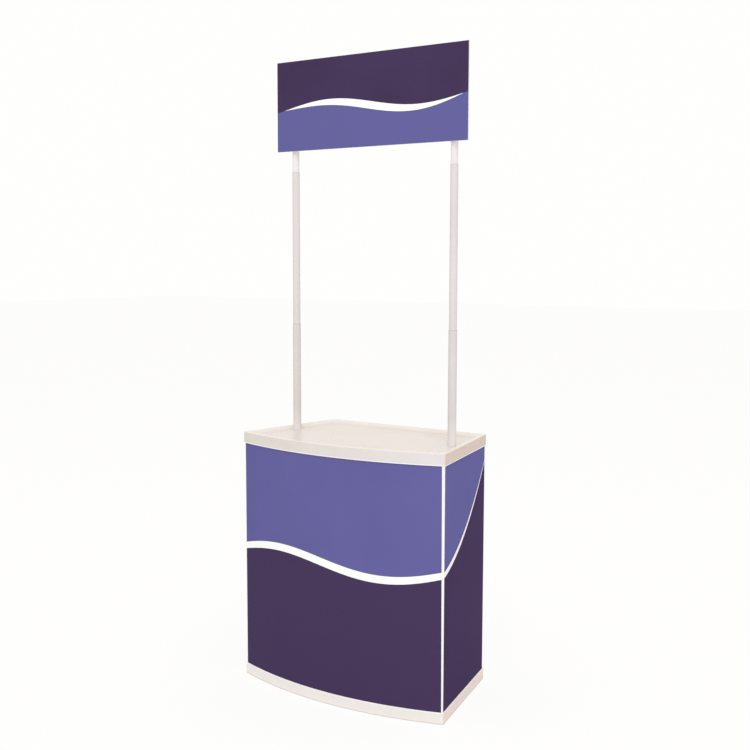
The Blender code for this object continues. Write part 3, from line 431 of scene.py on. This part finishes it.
def moulded_finish(
    name,
    colour,
    aged_and_shaded,
    roughness=0.42,
    dust=0.15,
    grain=0.0006,
    relief=0.5,
    end_shade=0.0,
    highlight_height=None,
    upright=None,
    highlight_line=None,
):
    """Moulded plastic: fine grain, slow mottle, ageing and painted shade on its end faces, polished edges,
    dust.

    Above the height that highlight_height gives, faces that look up get a painted highlight, and the end
    faces grow darker in specks towards the rear. The two colours of upright paint shade on its upright
    faces, at the left end and at the right. The two heights of highlight_line are those between which a
    painted highlight line runs along its outer edge. Its edges are lightened partly by wear and partly as a
    painted highlight.
    """
    finish, tree, shader = start_finish(name, specular=0.4)
    skin = use(tree, MOULDED_SKIN, grain_size=grain)
    # Edge mask for real wear and, in the lightening below, a painted highlight
    worn = use(tree, WORN_EDGES, reach=0.0012, amount=0.7)["worn"]
    scratch = use(tree, HAIRLINES, across=260.0, along=260.0, amount=0.35)["scratch"]
    dusty = use(tree, SETTLED_DUST, amount=dust)["dust"]
    sideways, _, upward = axes(tree, put(tree, "ShaderNodeNewGeometry").outputs["Normal"])
    # Painted shade on the end faces, added to the ageing of the mottle
    shaded_ends = ramp(tree, reckon(tree, "ABSOLUTE", sideways), *SHADED_END_FACING, 0.0, end_shade)
    age_and_end_shade = reckon(tree, "MULTIPLY_ADD", skin["mottle"], MOTTLE_AGE, shaded_ends, clamp=True)
    across, deep, height = axes(tree, object_place(tree))
    plastic = colour
    # Painted shade on the upright faces, changing from the left end to the right
    if upright is not None:
        wall = tint(tree, ramp(tree, across, -TOP_END, TOP_END), *upright)
        plastic = tint(tree, ramp(tree, upward, *SHADED_UPRIGHT_FACING), wall, colour)
    plastic = tint(tree, age_and_end_shade, plastic, aged_and_shaded)
    if highlight_height is not None:
        # Painted highlight on the upward faces above the deck
        above = ramp(tree, height, highlight_height, highlight_height + RIM_HIGHLIGHT_RISE)
        facing_up = ramp(tree, upward, *RIM_HIGHLIGHT_FACING, 0.0, RIM_HIGHLIGHT_SHARE)
        plastic = tint(tree, reckon(tree, "MULTIPLY", above, facing_up), plastic, PRINT_AND_HIGHLIGHT_WHITE)
        # End faces darker in specks, more so towards the rear
        specks = noise(tree, object_place(tree), DARK_SPECK_SCALE, detail=3.0, roughness=0.6)
        specks = ramp(tree, specks, *DARK_SPECK_SPAN, DARK_BETWEEN_SPECKS, 1.0)
        rearward = ramp(tree, deep, -SIDE_REAR, SIDE_REAR, END_DARKENING_AT_FRONT, END_DARKENING_AT_REAR)
        end_darkening = reckon(tree, "MULTIPLY", rearward, specks)
        plastic = tint(tree, reckon(tree, "MULTIPLY", end_darkening, shaded_ends), plastic, SHADE_AND_GRIME)
    # Painted highlight line along the outer edge
    if highlight_line is not None:
        pale = ramp(tree, height, *highlight_line, 0.0, HIGHLIGHT_LINE_SHARE)
        plastic = tint(tree, pale, plastic, PRINT_AND_HIGHLIGHT_WHITE)
    # Edges lightened, partly by wear and partly as a painted highlight
    plastic = tint(tree, reckon(tree, "MULTIPLY", worn, WORN_SHARE), plastic, PRINT_AND_HIGHLIGHT_WHITE)
    plastic = tint(tree, reckon(tree, "MULTIPLY", scratch, SCRATCH_SHARE), plastic, aged_and_shaded)
    # Painted contact shadow along the floor
    foot = ramp(tree, height, *FLOOR_SHADOW_SPAN, 0.0, FLOOR_SHADOW_SHARE)
    plastic = tint(tree, foot, plastic, SHADE_AND_GRIME)
    feed(tree, tint(tree, dusty, plastic, DUST), shader["Base Color"])
    changes = ((skin["mottle"], 0.06), (worn, -0.10), (scratch, 0.12), (dusty, 0.8))
    roughen(tree, shader, roughness, *changes)
    feed(tree, emboss(tree, skin["height"], distance=0.00003, strength=relief), shader["Normal"])
    return finish


def sheet_finish(name, colour, dust=0.15):
    """Calendered sheet: nearly flat, with faint scuffs and bright sawn edges."""
    finish, tree, shader = start_finish(name, specular=0.4)
    skin = use(tree, LAMINATE, pebble_size=0.0012, roller_lines=0.6)
    scratch = use(tree, HAIRLINES, across=60.0, along=420.0, amount=0.5)["scratch"]
    worn = use(tree, WORN_EDGES, reach=0.0008, amount=0.8)["worn"]
    dusty = use(tree, SETTLED_DUST, amount=dust)["dust"]
    plastic = tint(tree, skin["tone"], shaded(colour, SHEET_SHADE), colour)
    plastic = tint(tree, reckon(tree, "MULTIPLY", scratch, SHEET_SCRATCH_SHARE), plastic, DUST)
    plastic = tint(tree, reckon(tree, "MULTIPLY", worn, WORN_SHARE), plastic, PRINT_AND_HIGHLIGHT_WHITE)
    feed(tree, tint(tree, dusty, plastic, DUST), shader["Base Color"])
    roughen(tree, shader, 0.42, (skin["tone"], 0.08), (scratch, 0.15))
    feed(tree, emboss(tree, skin["height"], distance=0.00004, strength=0.5), shader["Normal"])
    return finish


def painted_finish(name, colour, seams, highlight_height=0.0):
    """Powder-coated tube: orange peel, upright hairlines, painted shade at tube joints, painted highlight
    at the foot.

    The heights of seams are those of the painted shade lines, and highlight_height is the height of the
    foot, where a painted highlight starts and fades upwards.
    """
    finish, tree, shader = start_finish(name, specular=0.04)
    place = object_place(tree)
    peel = noise(tree, place, PEEL_SCALE)
    scratch = use(tree, HAIRLINES, across=1300.0, along=16.0, amount=0.6)["scratch"]
    worn = use(tree, WORN_EDGES, reach=0.0006, amount=0.6)["worn"]
    clouds = ramp(tree, noise(tree, place, PAINT_CLOUD_SCALE, detail=3.0), *CLOUD_SPAN)
    paint = tint(tree, clouds, shaded(colour, PAINT_SHADE), colour)
    paint = tint(tree, reckon(tree, "MULTIPLY", scratch, SCRATCH_SHARE), paint, DUST)
    height = axes(tree, place)[2]
    # Painted highlight at the foot, fading upwards
    foot_highlight = ramp(tree, height, highlight_height + FOOT_HIGHLIGHT_HEIGHT, highlight_height, 0.0, FOOT_HIGHLIGHT_SHARE)
    paint = tint(tree, foot_highlight, paint, PRINT_AND_HIGHLIGHT_WHITE)
    # Painted shade at each joint between tubes
    for seam in seams:
        off = reckon(tree, "ABSOLUTE", reckon(tree, "SUBTRACT", height, seam))
        paint = tint(tree, ramp(tree, off, *SEAM_SPAN, 0.0, SEAM_SHADE), paint, SHADE_AND_GRIME)
    feed(tree, tint(tree, worn, paint, ZINC), shader["Base Color"])
    roughen(tree, shader, 0.34, (clouds, 0.06), (scratch, 0.15))
    feed(tree, emboss(tree, peel, distance=0.00004, strength=0.5), shader["Normal"])
    return finish


def zinc_finish(name):
    """Zinc-plated steel."""
    finish, tree, shader = start_finish(name)
    plate = use(tree, BRUSHED_PLATE, mark_size=0.0004)
    shader["Metallic"].default_value = 1.0
    feed(tree, tint(tree, plate["bloom"], shaded(ZINC, ZINC_SHADE), ZINC), shader["Base Color"])
    roughen(tree, shader, 0.42, (plate["bloom"], -0.12))
    feed(tree, emboss(tree, plate["height"], distance=0.00002, strength=0.6), shader["Normal"])
    return finish


def print_finish(name, runs_along, stripe, over, under, margin=None):
    """Printed film under matt laminate: two fields with a white band between them, and unprinted edges.

    The stripe runs along the axis that runs_along names. A margin is a white strip at an end, given by the
    end's place and by two heights, each followed by the strip's width there.
    """
    finish, tree, shader = start_finish(name, specular=0.01)
    skin = use(tree, LAMINATE, pebble_size=0.0005, roller_lines=0.8)
    scratch = use(tree, HAIRLINES, across=30.0, along=500.0, amount=0.35)["scratch"]
    x, y, z = axes(tree, object_place(tree))
    sideways, forward, _ = axes(tree, put(tree, "ShaderNodeNewGeometry").outputs["Normal"])
    along, facing = {"x": (x, forward), "y": (y, sideways)}[runs_along]
    wave = use(tree, STRIPE_WAVE, along=along, height=z, **stripe)
    ink = tint(tree, wave["above"], under, over)
    ink = tint(tree, reckon(tree, "MULTIPLY", skin["tone"], INK_MOTTLE), ink, shaded(under, INK_SHADE))
    ink = tint(tree, wave["band"], ink, PRINT_AND_HIGHLIGHT_WHITE)
    if margin is not None:
        edge, low, width_low, high, width_high = margin
        width = ramp(tree, z, low, high, width_low, width_high)
        unprinted = reckon(tree, "LESS_THAN", reckon(tree, "SUBTRACT", edge, x), width)
        ink = tint(tree, unprinted, ink, PRINT_AND_HIGHLIGHT_WHITE)
    printed = ramp(tree, reckon(tree, "ABSOLUTE", facing), *FILM_FACING)
    ink = tint(tree, printed, SHEET_WHITE, ink)
    ink = tint(tree, reckon(tree, "MULTIPLY", scratch, FILM_SCRATCH_SHARE), ink, DUST)
    feed(tree, ink, shader["Base Color"])
    roughen(tree, shader, 0.50, (skin["tone"], 0.06), (scratch, 0.1))
    feed(tree, emboss(tree, skin["height"], distance=0.00003, strength=0.5), shader["Normal"])
    return finish


# Course of the white band on each print, in metres; make_stripe_wave says what each value does
FRONT_STRIPE = {
    "middle": 0.4801,
    "slope": 0.0582,
    "swing": -0.0353,
    "turn": 6.877,
    "start": -0.020,
    "band": 0.0261,
    "band_centre": -0.014,
    "band_reach": 1.05,
}
SIDE_STRIPE = {
    "centre": -0.154,
    "middle": 0.4898,
    "slope": 0.2597,
    "bend": 1.2006,
    "band": 0.0184,
    "band_centre": -0.154,
    "band_reach": 0.47,
    "taper": 1.5,
}
HEADER_STRIPE = {
    "middle": 1.9641,
    "slope": 0.0098,
    "swing": 0.0225,
    "turn": 8.878,
    "start": 2.969,
    "band": 0.0250,
    "band_centre": 0.008,
    "band_reach": 0.352,
}

# How far from its outer edge a moulding's painted highlight line starts and is full
SKIRT_HIGHLIGHT_SPAN = (0.0036, 0.0018)
BASE_HIGHLIGHT_SPAN = (0.0044, 0.0024)
FRONT_MARGIN_AT_TOP = 0.003

moulded_top = moulded_finish(
    "moulded_top",
    TOP_WHITE,
    TOP_AGED_AND_SHADED,
    roughness=0.22,
    dust=0.04,
    relief=0.15,
    end_shade=0.9,
    highlight_height=DECK_HEIGHT,
    upright=(SKIRT_SHADED_LEFT_WHITE, SKIRT_LIT_RIGHT_WHITE),
    highlight_line=(SKIRT_BOTTOM + SKIRT_HIGHLIGHT_SPAN[0], SKIRT_BOTTOM + SKIRT_HIGHLIGHT_SPAN[1]),
)
moulded_base = moulded_finish(
    "moulded_base",
    BASE_WHITE,
    BASE_AGED_AND_SHADED,
    dust=0.2,
    end_shade=0.8,
    upright=(BASE_WHITE, BASE_SHADED_RIGHT_WHITE),
    highlight_line=(BASE_TOP - BASE_HIGHLIGHT_SPAN[0], BASE_TOP - BASE_HIGHLIGHT_SPAN[1]),
)
moulded_small = moulded_finish("moulded_small", TOP_WHITE, TOP_AGED_AND_SHADED, grain=0.0004)
sheet_white = sheet_finish("sheet_white", SHEET_WHITE)
post_white = sheet_finish("post_white", POST_WHITE, dust=0.0)
lower_paint = painted_finish("lower_pole_paint", LOWER_POLE_WHITE, (LOWER_SEAM,), highlight_height=DECK_HEIGHT)
upper_paint = painted_finish("upper_pole_paint", UPPER_POLE_WHITE, (LOWER_SEAM, UPPER_SEAM))
tube_paint = painted_finish("header_tube_paint", TUBE_WHITE, (UPPER_SEAM,))
zinc = zinc_finish("zinc_plate")
front_margin = (FRONT_SKIN_EDGE, BASE_TOP, 0.0, SKIRT_BOTTOM, FRONT_MARGIN_AT_TOP)
front_print = print_finish("front_print", "x", FRONT_STRIPE, FRONT_VIOLET, FRONT_PURPLE, front_margin)
side_print = print_finish("side_print", "y", SIDE_STRIPE, SIDE_LIGHTENED_VIOLET, SIDE_DARKENED_PURPLE)
header_print = print_finish("header_print", "x", HEADER_STRIPE, HEADER_SHADED_PURPLE, HEADER_SHADED_VIOLET)

# The finish of each piece, by how its name starts; the first that fits counts
FINISHES = (
    ("counter_top", moulded_top),
    ("base_tray", moulded_base),
    ("pole_socket", moulded_small),
    ("pole_stop", moulded_small),
    ("header_stop", moulded_small),
    ("header_tube_cap", moulded_small),
    ("header_clip", moulded_small),
    ("front_panel", sheet_white),
    ("side_panel", sheet_white),
    ("shelf_bracket", zinc),
    ("shelf", sheet_white),
    ("header_board", sheet_white),
    ("corner_post", post_white),
    ("rear_post", tube_paint),
    ("front_graphic", front_print),
    ("side_graphic", side_print),
    ("header_graphic", header_print),
    ("lower_pole", lower_paint),
    ("upper_pole", upper_paint),
    ("header_tube", tube_paint),
    ("bracket_rivet", zinc),
    ("socket_screw", zinc),
    ("clip_screw", zinc),
)

# Widths of the softened edges, found in the same way; the other pieces get the last one
EDGE_WIDTHS = (
    ("counter_top", 0.0009),
    ("base_tray", 0.0007),
    ("front_graphic", 0.0001),
    ("side_graphic", 0.0001),
    ("header_graphic", 0.0001),
    ("header_board", 0.0005),
    ("corner_post", 0.0004),
    ("", 0.0003),
)
WELD_REACH = 0.00001
FLAT_ANGLE = math.radians(0.2)
ROUNDED_ANGLE = math.radians(20)
CREASE_ANGLE = math.radians(38)


def first_match(name, pairs):
    """The value of the first pair whose word starts the name."""
    return next(value for word, value in pairs if name.startswith(word))


def make_smoother():
    """Geometry nodes that shade a piece smooth except across its sharp edges."""
    tree = bpy.data.node_groups.new("shade_by_angle", "GeometryNodeTree")
    for way in ("INPUT", "OUTPUT"):
        tree.interface.new_socket("Geometry", in_out=way, socket_type="NodeSocketGeometry")
    inside = tree.nodes.new("NodeGroupInput")
    outside = tree.nodes.new("NodeGroupOutput")
    bare = put(tree, "GeometryNodeRemoveAttribute", {0: inside.outputs[0], "Name": "custom_normal"})
    smooth = put(tree, "GeometryNodeSetShadeSmooth", {0: bare.outputs[0]}, domain="FACE")
    angle = put(tree, "GeometryNodeInputMeshEdgeAngle").outputs["Unsigned Angle"]
    sharp = put(
        tree,
        "FunctionNodeCompare",
        {"A": angle, "B": CREASE_ANGLE},
        data_type="FLOAT",
        operation="GREATER_THAN",
    )
    creased = put(
        tree,
        "GeometryNodeSetShadeSmooth",
        {0: smooth.outputs[0], "Selection": sharp.outputs[0], "Shade Smooth": False},
        domain="EDGE",
    )
    feed(tree, creased.outputs[0], outside.inputs[0])
    return tree


def soften(piece, width, smoother):
    """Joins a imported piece's loose faces, rounds its edges a little and shades it smooth."""
    weld = piece.modifiers.new("weld", "WELD")
    weld.merge_threshold = WELD_REACH
    flat = piece.modifiers.new("join_flat_faces", "DECIMATE")
    flat.decimate_type = "DISSOLVE"
    flat.angle_limit = FLAT_ANGLE
    edge = piece.modifiers.new("soft_edges", "BEVEL")
    edge.width = width
    edge.segments = 2
    edge.limit_method = "ANGLE"
    edge.angle_limit = ROUNDED_ANGLE
    merge = piece.modifiers.new("merge_corners", "WELD")
    merge.merge_threshold = WELD_REACH
    shade = piece.modifiers.new("shade_by_angle", "NODES")
    shade.node_group = smoother
    flats = piece.modifiers.new("keep_flats_flat", "WEIGHTED_NORMAL")
    flats.keep_sharp = True


# Fasteners in full detail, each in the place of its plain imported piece

HEAD_RADIUS = 0.0034
SHANK_RADIUS = 0.0016
TURNING_STEPS = 24
DOME_STEPS = 5

SCREW_HEAD = 0.0018
SCREW_RIM = SCREW_HEAD / 4
CROWN_RADIUS = 0.0021
RECESS_REACH = 0.00175
RECESS_HALF_WIDTH = 0.00045
RECESS_DEPTH = 0.0011
RECESS_TAPER = 0.62
# Shares of the crown's radius past which a corner lies at an arm's end or beside it
ARM_END_SHARE = 0.95
ARM_SIDE_SHARE = 0.80

RIVET_HEAD = 0.0014
RIVET_RIM = RIVET_HEAD / 6
FLANGE_TOP_RADIUS = 0.42 * HEAD_RADIUS
BORE_RADIUS = 0.36 * HEAD_RADIUS
BORE_EDGE = 0.9 * RIVET_HEAD
BORE_FLOOR_RADIUS = 0.33 * HEAD_RADIUS
BORE_FLOOR = 0.35 * RIVET_HEAD
MANDREL_RADIUS = 0.28 * HEAD_RADIUS
MANDREL_RIM = 0.38 * RIVET_HEAD
MANDREL_END = 0.6 * RIVET_HEAD

MERGE_REACH = 0.000001


def dome(outer, inner, low, high):
    """Radii and heights of a quarter round, from its rim up to its crown."""
    turns = [math.pi / 2 * step / DOME_STEPS for step in range(DOME_STEPS + 1)]
    reach, rise = outer - inner, high - low
    return [(inner + reach * math.cos(turn), low + rise * math.sin(turn)) for turn in turns]


def turn_profile(profile):
    """A bmesh turned about Z from its profile's radii and heights."""
    shape = bmesh.new()
    corners = [shape.verts.new((radius, 0, height)) for radius, height in profile]
    edges = [shape.edges.new(pair) for pair in zip(corners, corners[1:])]
    bmesh.ops.spin(
        shape,
        geom=corners + edges,
        cent=(0, 0, 0),
        axis=(0, 0, 1),
        angle=math.tau,
        steps=TURNING_STEPS,
        use_merge=True,
    )
    bmesh.ops.remove_doubles(shape, verts=shape.verts, dist=MERGE_REACH)
    return shape


def extrude_rim(shape):
    """Extrudes the open rim of a shape in place; gives the new corners."""
    rim = [edge for edge in shape.edges if edge.is_boundary]
    made = bmesh.ops.extrude_edge_only(shape, edges=rim)["geom"]
    return [item for item in made if isinstance(item, bmesh.types.BMVert)]


def recess_reach(share):
    """How far the cross recess reaches along an axis, for a corner at that share of the crown's radius."""
    if share > ARM_END_SHARE:
        return RECESS_REACH
    if share > ARM_SIDE_SHARE:
        return (RECESS_REACH + RECESS_HALF_WIDTH) / 2
    return min(share * CROWN_RADIUS, RECESS_HALF_WIDTH)


def make_screw(length):
    """Pan-head self-tapping screw with a cross recess; its seat is at height zero and its head above."""
    point = [(0, -length), (SHANK_RADIUS / 2, -length), (SHANK_RADIUS, SHANK_RADIUS - length)]
    crown = dome(HEAD_RADIUS, CROWN_RADIUS, SCREW_RIM, SCREW_HEAD)
    shape = turn_profile([*point, (SHANK_RADIUS, 0), (HEAD_RADIUS, 0), *crown])
    for corner in extrude_rim(shape):
        corner.co.xy = [math.copysign(recess_reach(abs(v) / CROWN_RADIUS), v) for v in corner.co.xy]
    floor = extrude_rim(shape)
    bmesh.ops.translate(shape, verts=floor, vec=(0, 0, -RECESS_DEPTH))
    bmesh.ops.scale(shape, verts=floor, vec=(RECESS_TAPER, RECESS_TAPER, 1))
    bmesh.ops.edgeloop_fill(shape, edges=[edge for edge in shape.edges if edge.is_boundary])
    return shape


def make_rivet(length):
    """Blind rivet: a domed flange with the broken end of its mandrel sunk in the bore."""
    tail = [(0, -length), (SHANK_RADIUS, -length), (SHANK_RADIUS, 0), (HEAD_RADIUS, 0)]
    flange = dome(HEAD_RADIUS, FLANGE_TOP_RADIUS, RIVET_RIM, RIVET_HEAD)
    bore = [(BORE_RADIUS, BORE_EDGE), (BORE_FLOOR_RADIUS, BORE_FLOOR)]
    mandrel = dome(MANDREL_RADIUS, 0, MANDREL_RIM, MANDREL_END)
    return turn_profile([*tail, *flange, *bore, *mandrel])


def detail_fastener(name, make, head, outward, smoother):
    """Puts a detailed screw or rivet in the place of a plain one, with its head the same way."""
    turn = outward.to_track_quat("Z", "Y").to_matrix()
    corners = [turn.transposed() @ corner.co for corner in NODES[name].data.vertices]
    low = Vector(map(min, *corners))
    high = Vector(map(max, *corners))
    seat = turn @ Vector(((low.x + high.x) / 2, (low.y + high.y) / 2, high.z - head))
    shape = make(high.z - head - low.z)
    bmesh.ops.recalc_face_normals(shape, faces=shape.faces)
    bmesh.ops.transform(shape, matrix=Matrix.Translation(seat) @ turn.to_4x4(), verts=shape.verts)
    mesh = bpy.data.meshes.new(f"detailed_{name}")
    shape.to_mesh(mesh)
    shape.free()
    mesh.materials.append(zinc)
    piece = bpy.data.objects.new(mesh.name, mesh)
    bpy.context.scene.collection.objects.link(piece)
    piece.modifiers.new("shade_by_angle", "NODES").node_group = smoother
    bodies = frame["record"]["behaviour"]["bodies"]
    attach(piece, next(body for body, nodes in bodies.items() if name in nodes))
    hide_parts(name)


def detail_fasteners(smoother):
    """Details every screw and rivet. Rivets point their heads into the counter, square to its sides."""
    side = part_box("side_panel_right")
    run = Vector((side[1].x - side[0].x, side[0].y - side[1].y, 0)).normalized()
    into_right = run.cross(Vector((0, 0, 1)))
    into_left = into_right * Vector((-1, 1, 1))
    kinds = (
        ("clip_screw", "", make_screw, SCREW_HEAD, Vector((0, 1, 0))),
        ("socket_screw", "", make_screw, SCREW_HEAD, Vector((0, 0, -1))),
        ("bracket_rivet", "left", make_rivet, RIVET_HEAD, into_left),
        ("bracket_rivet", "right", make_rivet, RIVET_HEAD, into_right),
    )
    for word, hand, make, head, outward in kinds:
        for name in [name for name in NODES if name.startswith(word) and hand in name]:
            detail_fastener(name, make, head, outward, smoother)


def dress(smoother):
    """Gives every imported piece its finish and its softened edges."""
    for name, piece in NODES.items():
        finish = first_match(name, FINISHES)
        for slot in piece.material_slots:
            slot.material = finish
        soften(piece, first_match(name, EDGE_WIDTHS), smoother)


shade_by_angle = make_smoother()
dress(shade_by_angle)
detail_fasteners(shade_by_angle)


# Studio

FLOOR_SIZE = 60
FLOOR_DROP = 0.0004
FLOOR_WHITE = (0.95, 0.945, 0.94)
FLOOR_GLOW = 0.88
STUDIO_WHITE = (1.0, 0.995, 0.99)
# The surroundings' light, from the side away from LIGHT_FROM to the side towards it
LIGHT_FROM = (0.30, -0.55, 0.78)
AWAY_WHITE = (0.98, 0.95, 0.92)
TOWARDS_WHITE = (1.0, 0.995, 0.985)
WHITE_SPAN = (-0.4, 0.6)
STRENGTHS = (0.39, 1.09)
STRENGTH_SPAN = (-0.8, 1.0)

# Where the photograph was taken from, in metres and degrees
CAMERA_PLACE = (2.07816, -3.08231, 1.44803)
CAMERA_YAW = -33.673
CAMERA_PITCH = 5.9013
CAMERA_ROLL = 0.1268
CAMERA_LENS = 53.297
SENSOR_WIDTH = 36


def seen_rays(tree):
    """One for the rays that show the background: to the camera, and off metal or through glass."""
    path = put(tree, "ShaderNodeLightPath").outputs
    shiny = reckon(tree, "MAXIMUM", path["Is Glossy Ray"], path["Is Transmission Ray"])
    return reckon(tree, "MAXIMUM", path["Is Camera Ray"], shiny)


def make_floor():
    """Wide pale floor that stays near white to the camera and keeps a soft shadow."""
    bpy.ops.mesh.primitive_plane_add(size=FLOOR_SIZE)
    floor = bpy.context.object
    floor.name = "studio_floor"
    floor.location = (0, 0, -FLOOR_DROP)
    finish = bpy.data.materials.new("studio_floor_paint")
    finish.use_nodes = True
    tree = finish.node_tree
    tree.nodes.remove(tree.nodes["Principled BSDF"])
    paint = put(tree, "ShaderNodeBsdfDiffuse", {"Color": (*FLOOR_WHITE, 1.0)})
    glow = put(tree, "ShaderNodeEmission", {"Color": (*STUDIO_WHITE, 1.0), "Strength": 1.0})
    share = reckon(tree, "MULTIPLY", seen_rays(tree), FLOOR_GLOW)
    mixed = put(tree, "ShaderNodeMixShader", {0: share, 1: paint.outputs[0], 2: glow.outputs[0]})
    feed(tree, mixed.outputs[0], tree.nodes["Material Output"].inputs["Surface"])
    floor.data.materials.append(finish)


def make_world():
    """Even white surroundings, with the light a little stronger from the front and above."""
    world = bpy.data.worlds.new("studio")
    world.use_nodes = True
    tree = world.node_tree
    shown = put(tree, "ShaderNodeBackground", {"Color": (*STUDIO_WHITE, 1.0), "Strength": 1.0})
    lit = tree.nodes["Background"]
    heading = put(tree, "ShaderNodeTexCoord").outputs["Generated"]
    towards = put(
        tree,
        "ShaderNodeVectorMath",
        {0: heading, 1: Vector(LIGHT_FROM).normalized()},
        operation="DOT_PRODUCT",
    ).outputs["Value"]
    white = tint(tree, ramp(tree, towards, *WHITE_SPAN), AWAY_WHITE, TOWARDS_WHITE)
    feed(tree, white, lit.inputs["Color"])
    feed(tree, ramp(tree, towards, *STRENGTH_SPAN, *STRENGTHS), lit.inputs["Strength"])
    mixed = put(
        tree, "ShaderNodeMixShader", {0: seen_rays(tree), 1: lit.outputs[0], 2: shown.outputs[0]}
    )
    feed(tree, mixed.outputs[0], tree.nodes["World Output"].inputs["Surface"])
    bpy.context.scene.world = world


def make_lamp(name, place, aim, size, power, colour):
    """Soft square lamp at a place, pointed at a spot."""
    light = bpy.data.lights.new(name, "AREA")
    light.shape = "SQUARE"
    light.size = size
    light.energy = power
    light.color = colour
    lamp = bpy.data.objects.new(name, light)
    lamp.location = place
    lamp.rotation_euler = (Vector(aim) - Vector(place)).to_track_quat("-Z", "Y").to_euler()
    bpy.context.scene.collection.objects.link(lamp)


def make_camera():
    """Camera at the photograph's place, at the front right and above the deck."""
    yaw, pitch, roll = map(math.radians, (CAMERA_YAW, CAMERA_PITCH, CAMERA_ROLL))
    level = Vector((math.sin(yaw), math.cos(yaw), 0))
    across = Vector((math.cos(yaw), -math.sin(yaw), 0))
    up = Vector((0, 0, 1))
    ahead = level * math.cos(pitch) - up * math.sin(pitch)
    above = up * math.cos(pitch) + level * math.sin(pitch)
    right = across * math.cos(roll) + above * math.sin(roll)
    top = above * math.cos(roll) - across * math.sin(roll)
    lens = bpy.data.cameras.new("photo_camera")
    lens.sensor_width = SENSOR_WIDTH
    lens.lens = CAMERA_LENS
    camera = bpy.data.objects.new("photo_camera", lens)
    bpy.context.scene.collection.objects.link(camera)
    turn = Matrix((right, top, -ahead)).transposed().to_4x4()
    camera.matrix_world = Matrix.Translation(CAMERA_PLACE) @ turn
    bpy.context.scene.camera = camera


make_floor()
make_world()
make_lamp(
    "key_lamp", place=(2.7, -4.4, 7.0), aim=(0, 0, 0.9), size=3.9, power=166, colour=(1.0, 0.99, 0.98)
)
make_camera()

bpy.context.scene.view_settings.view_transform = "Standard"
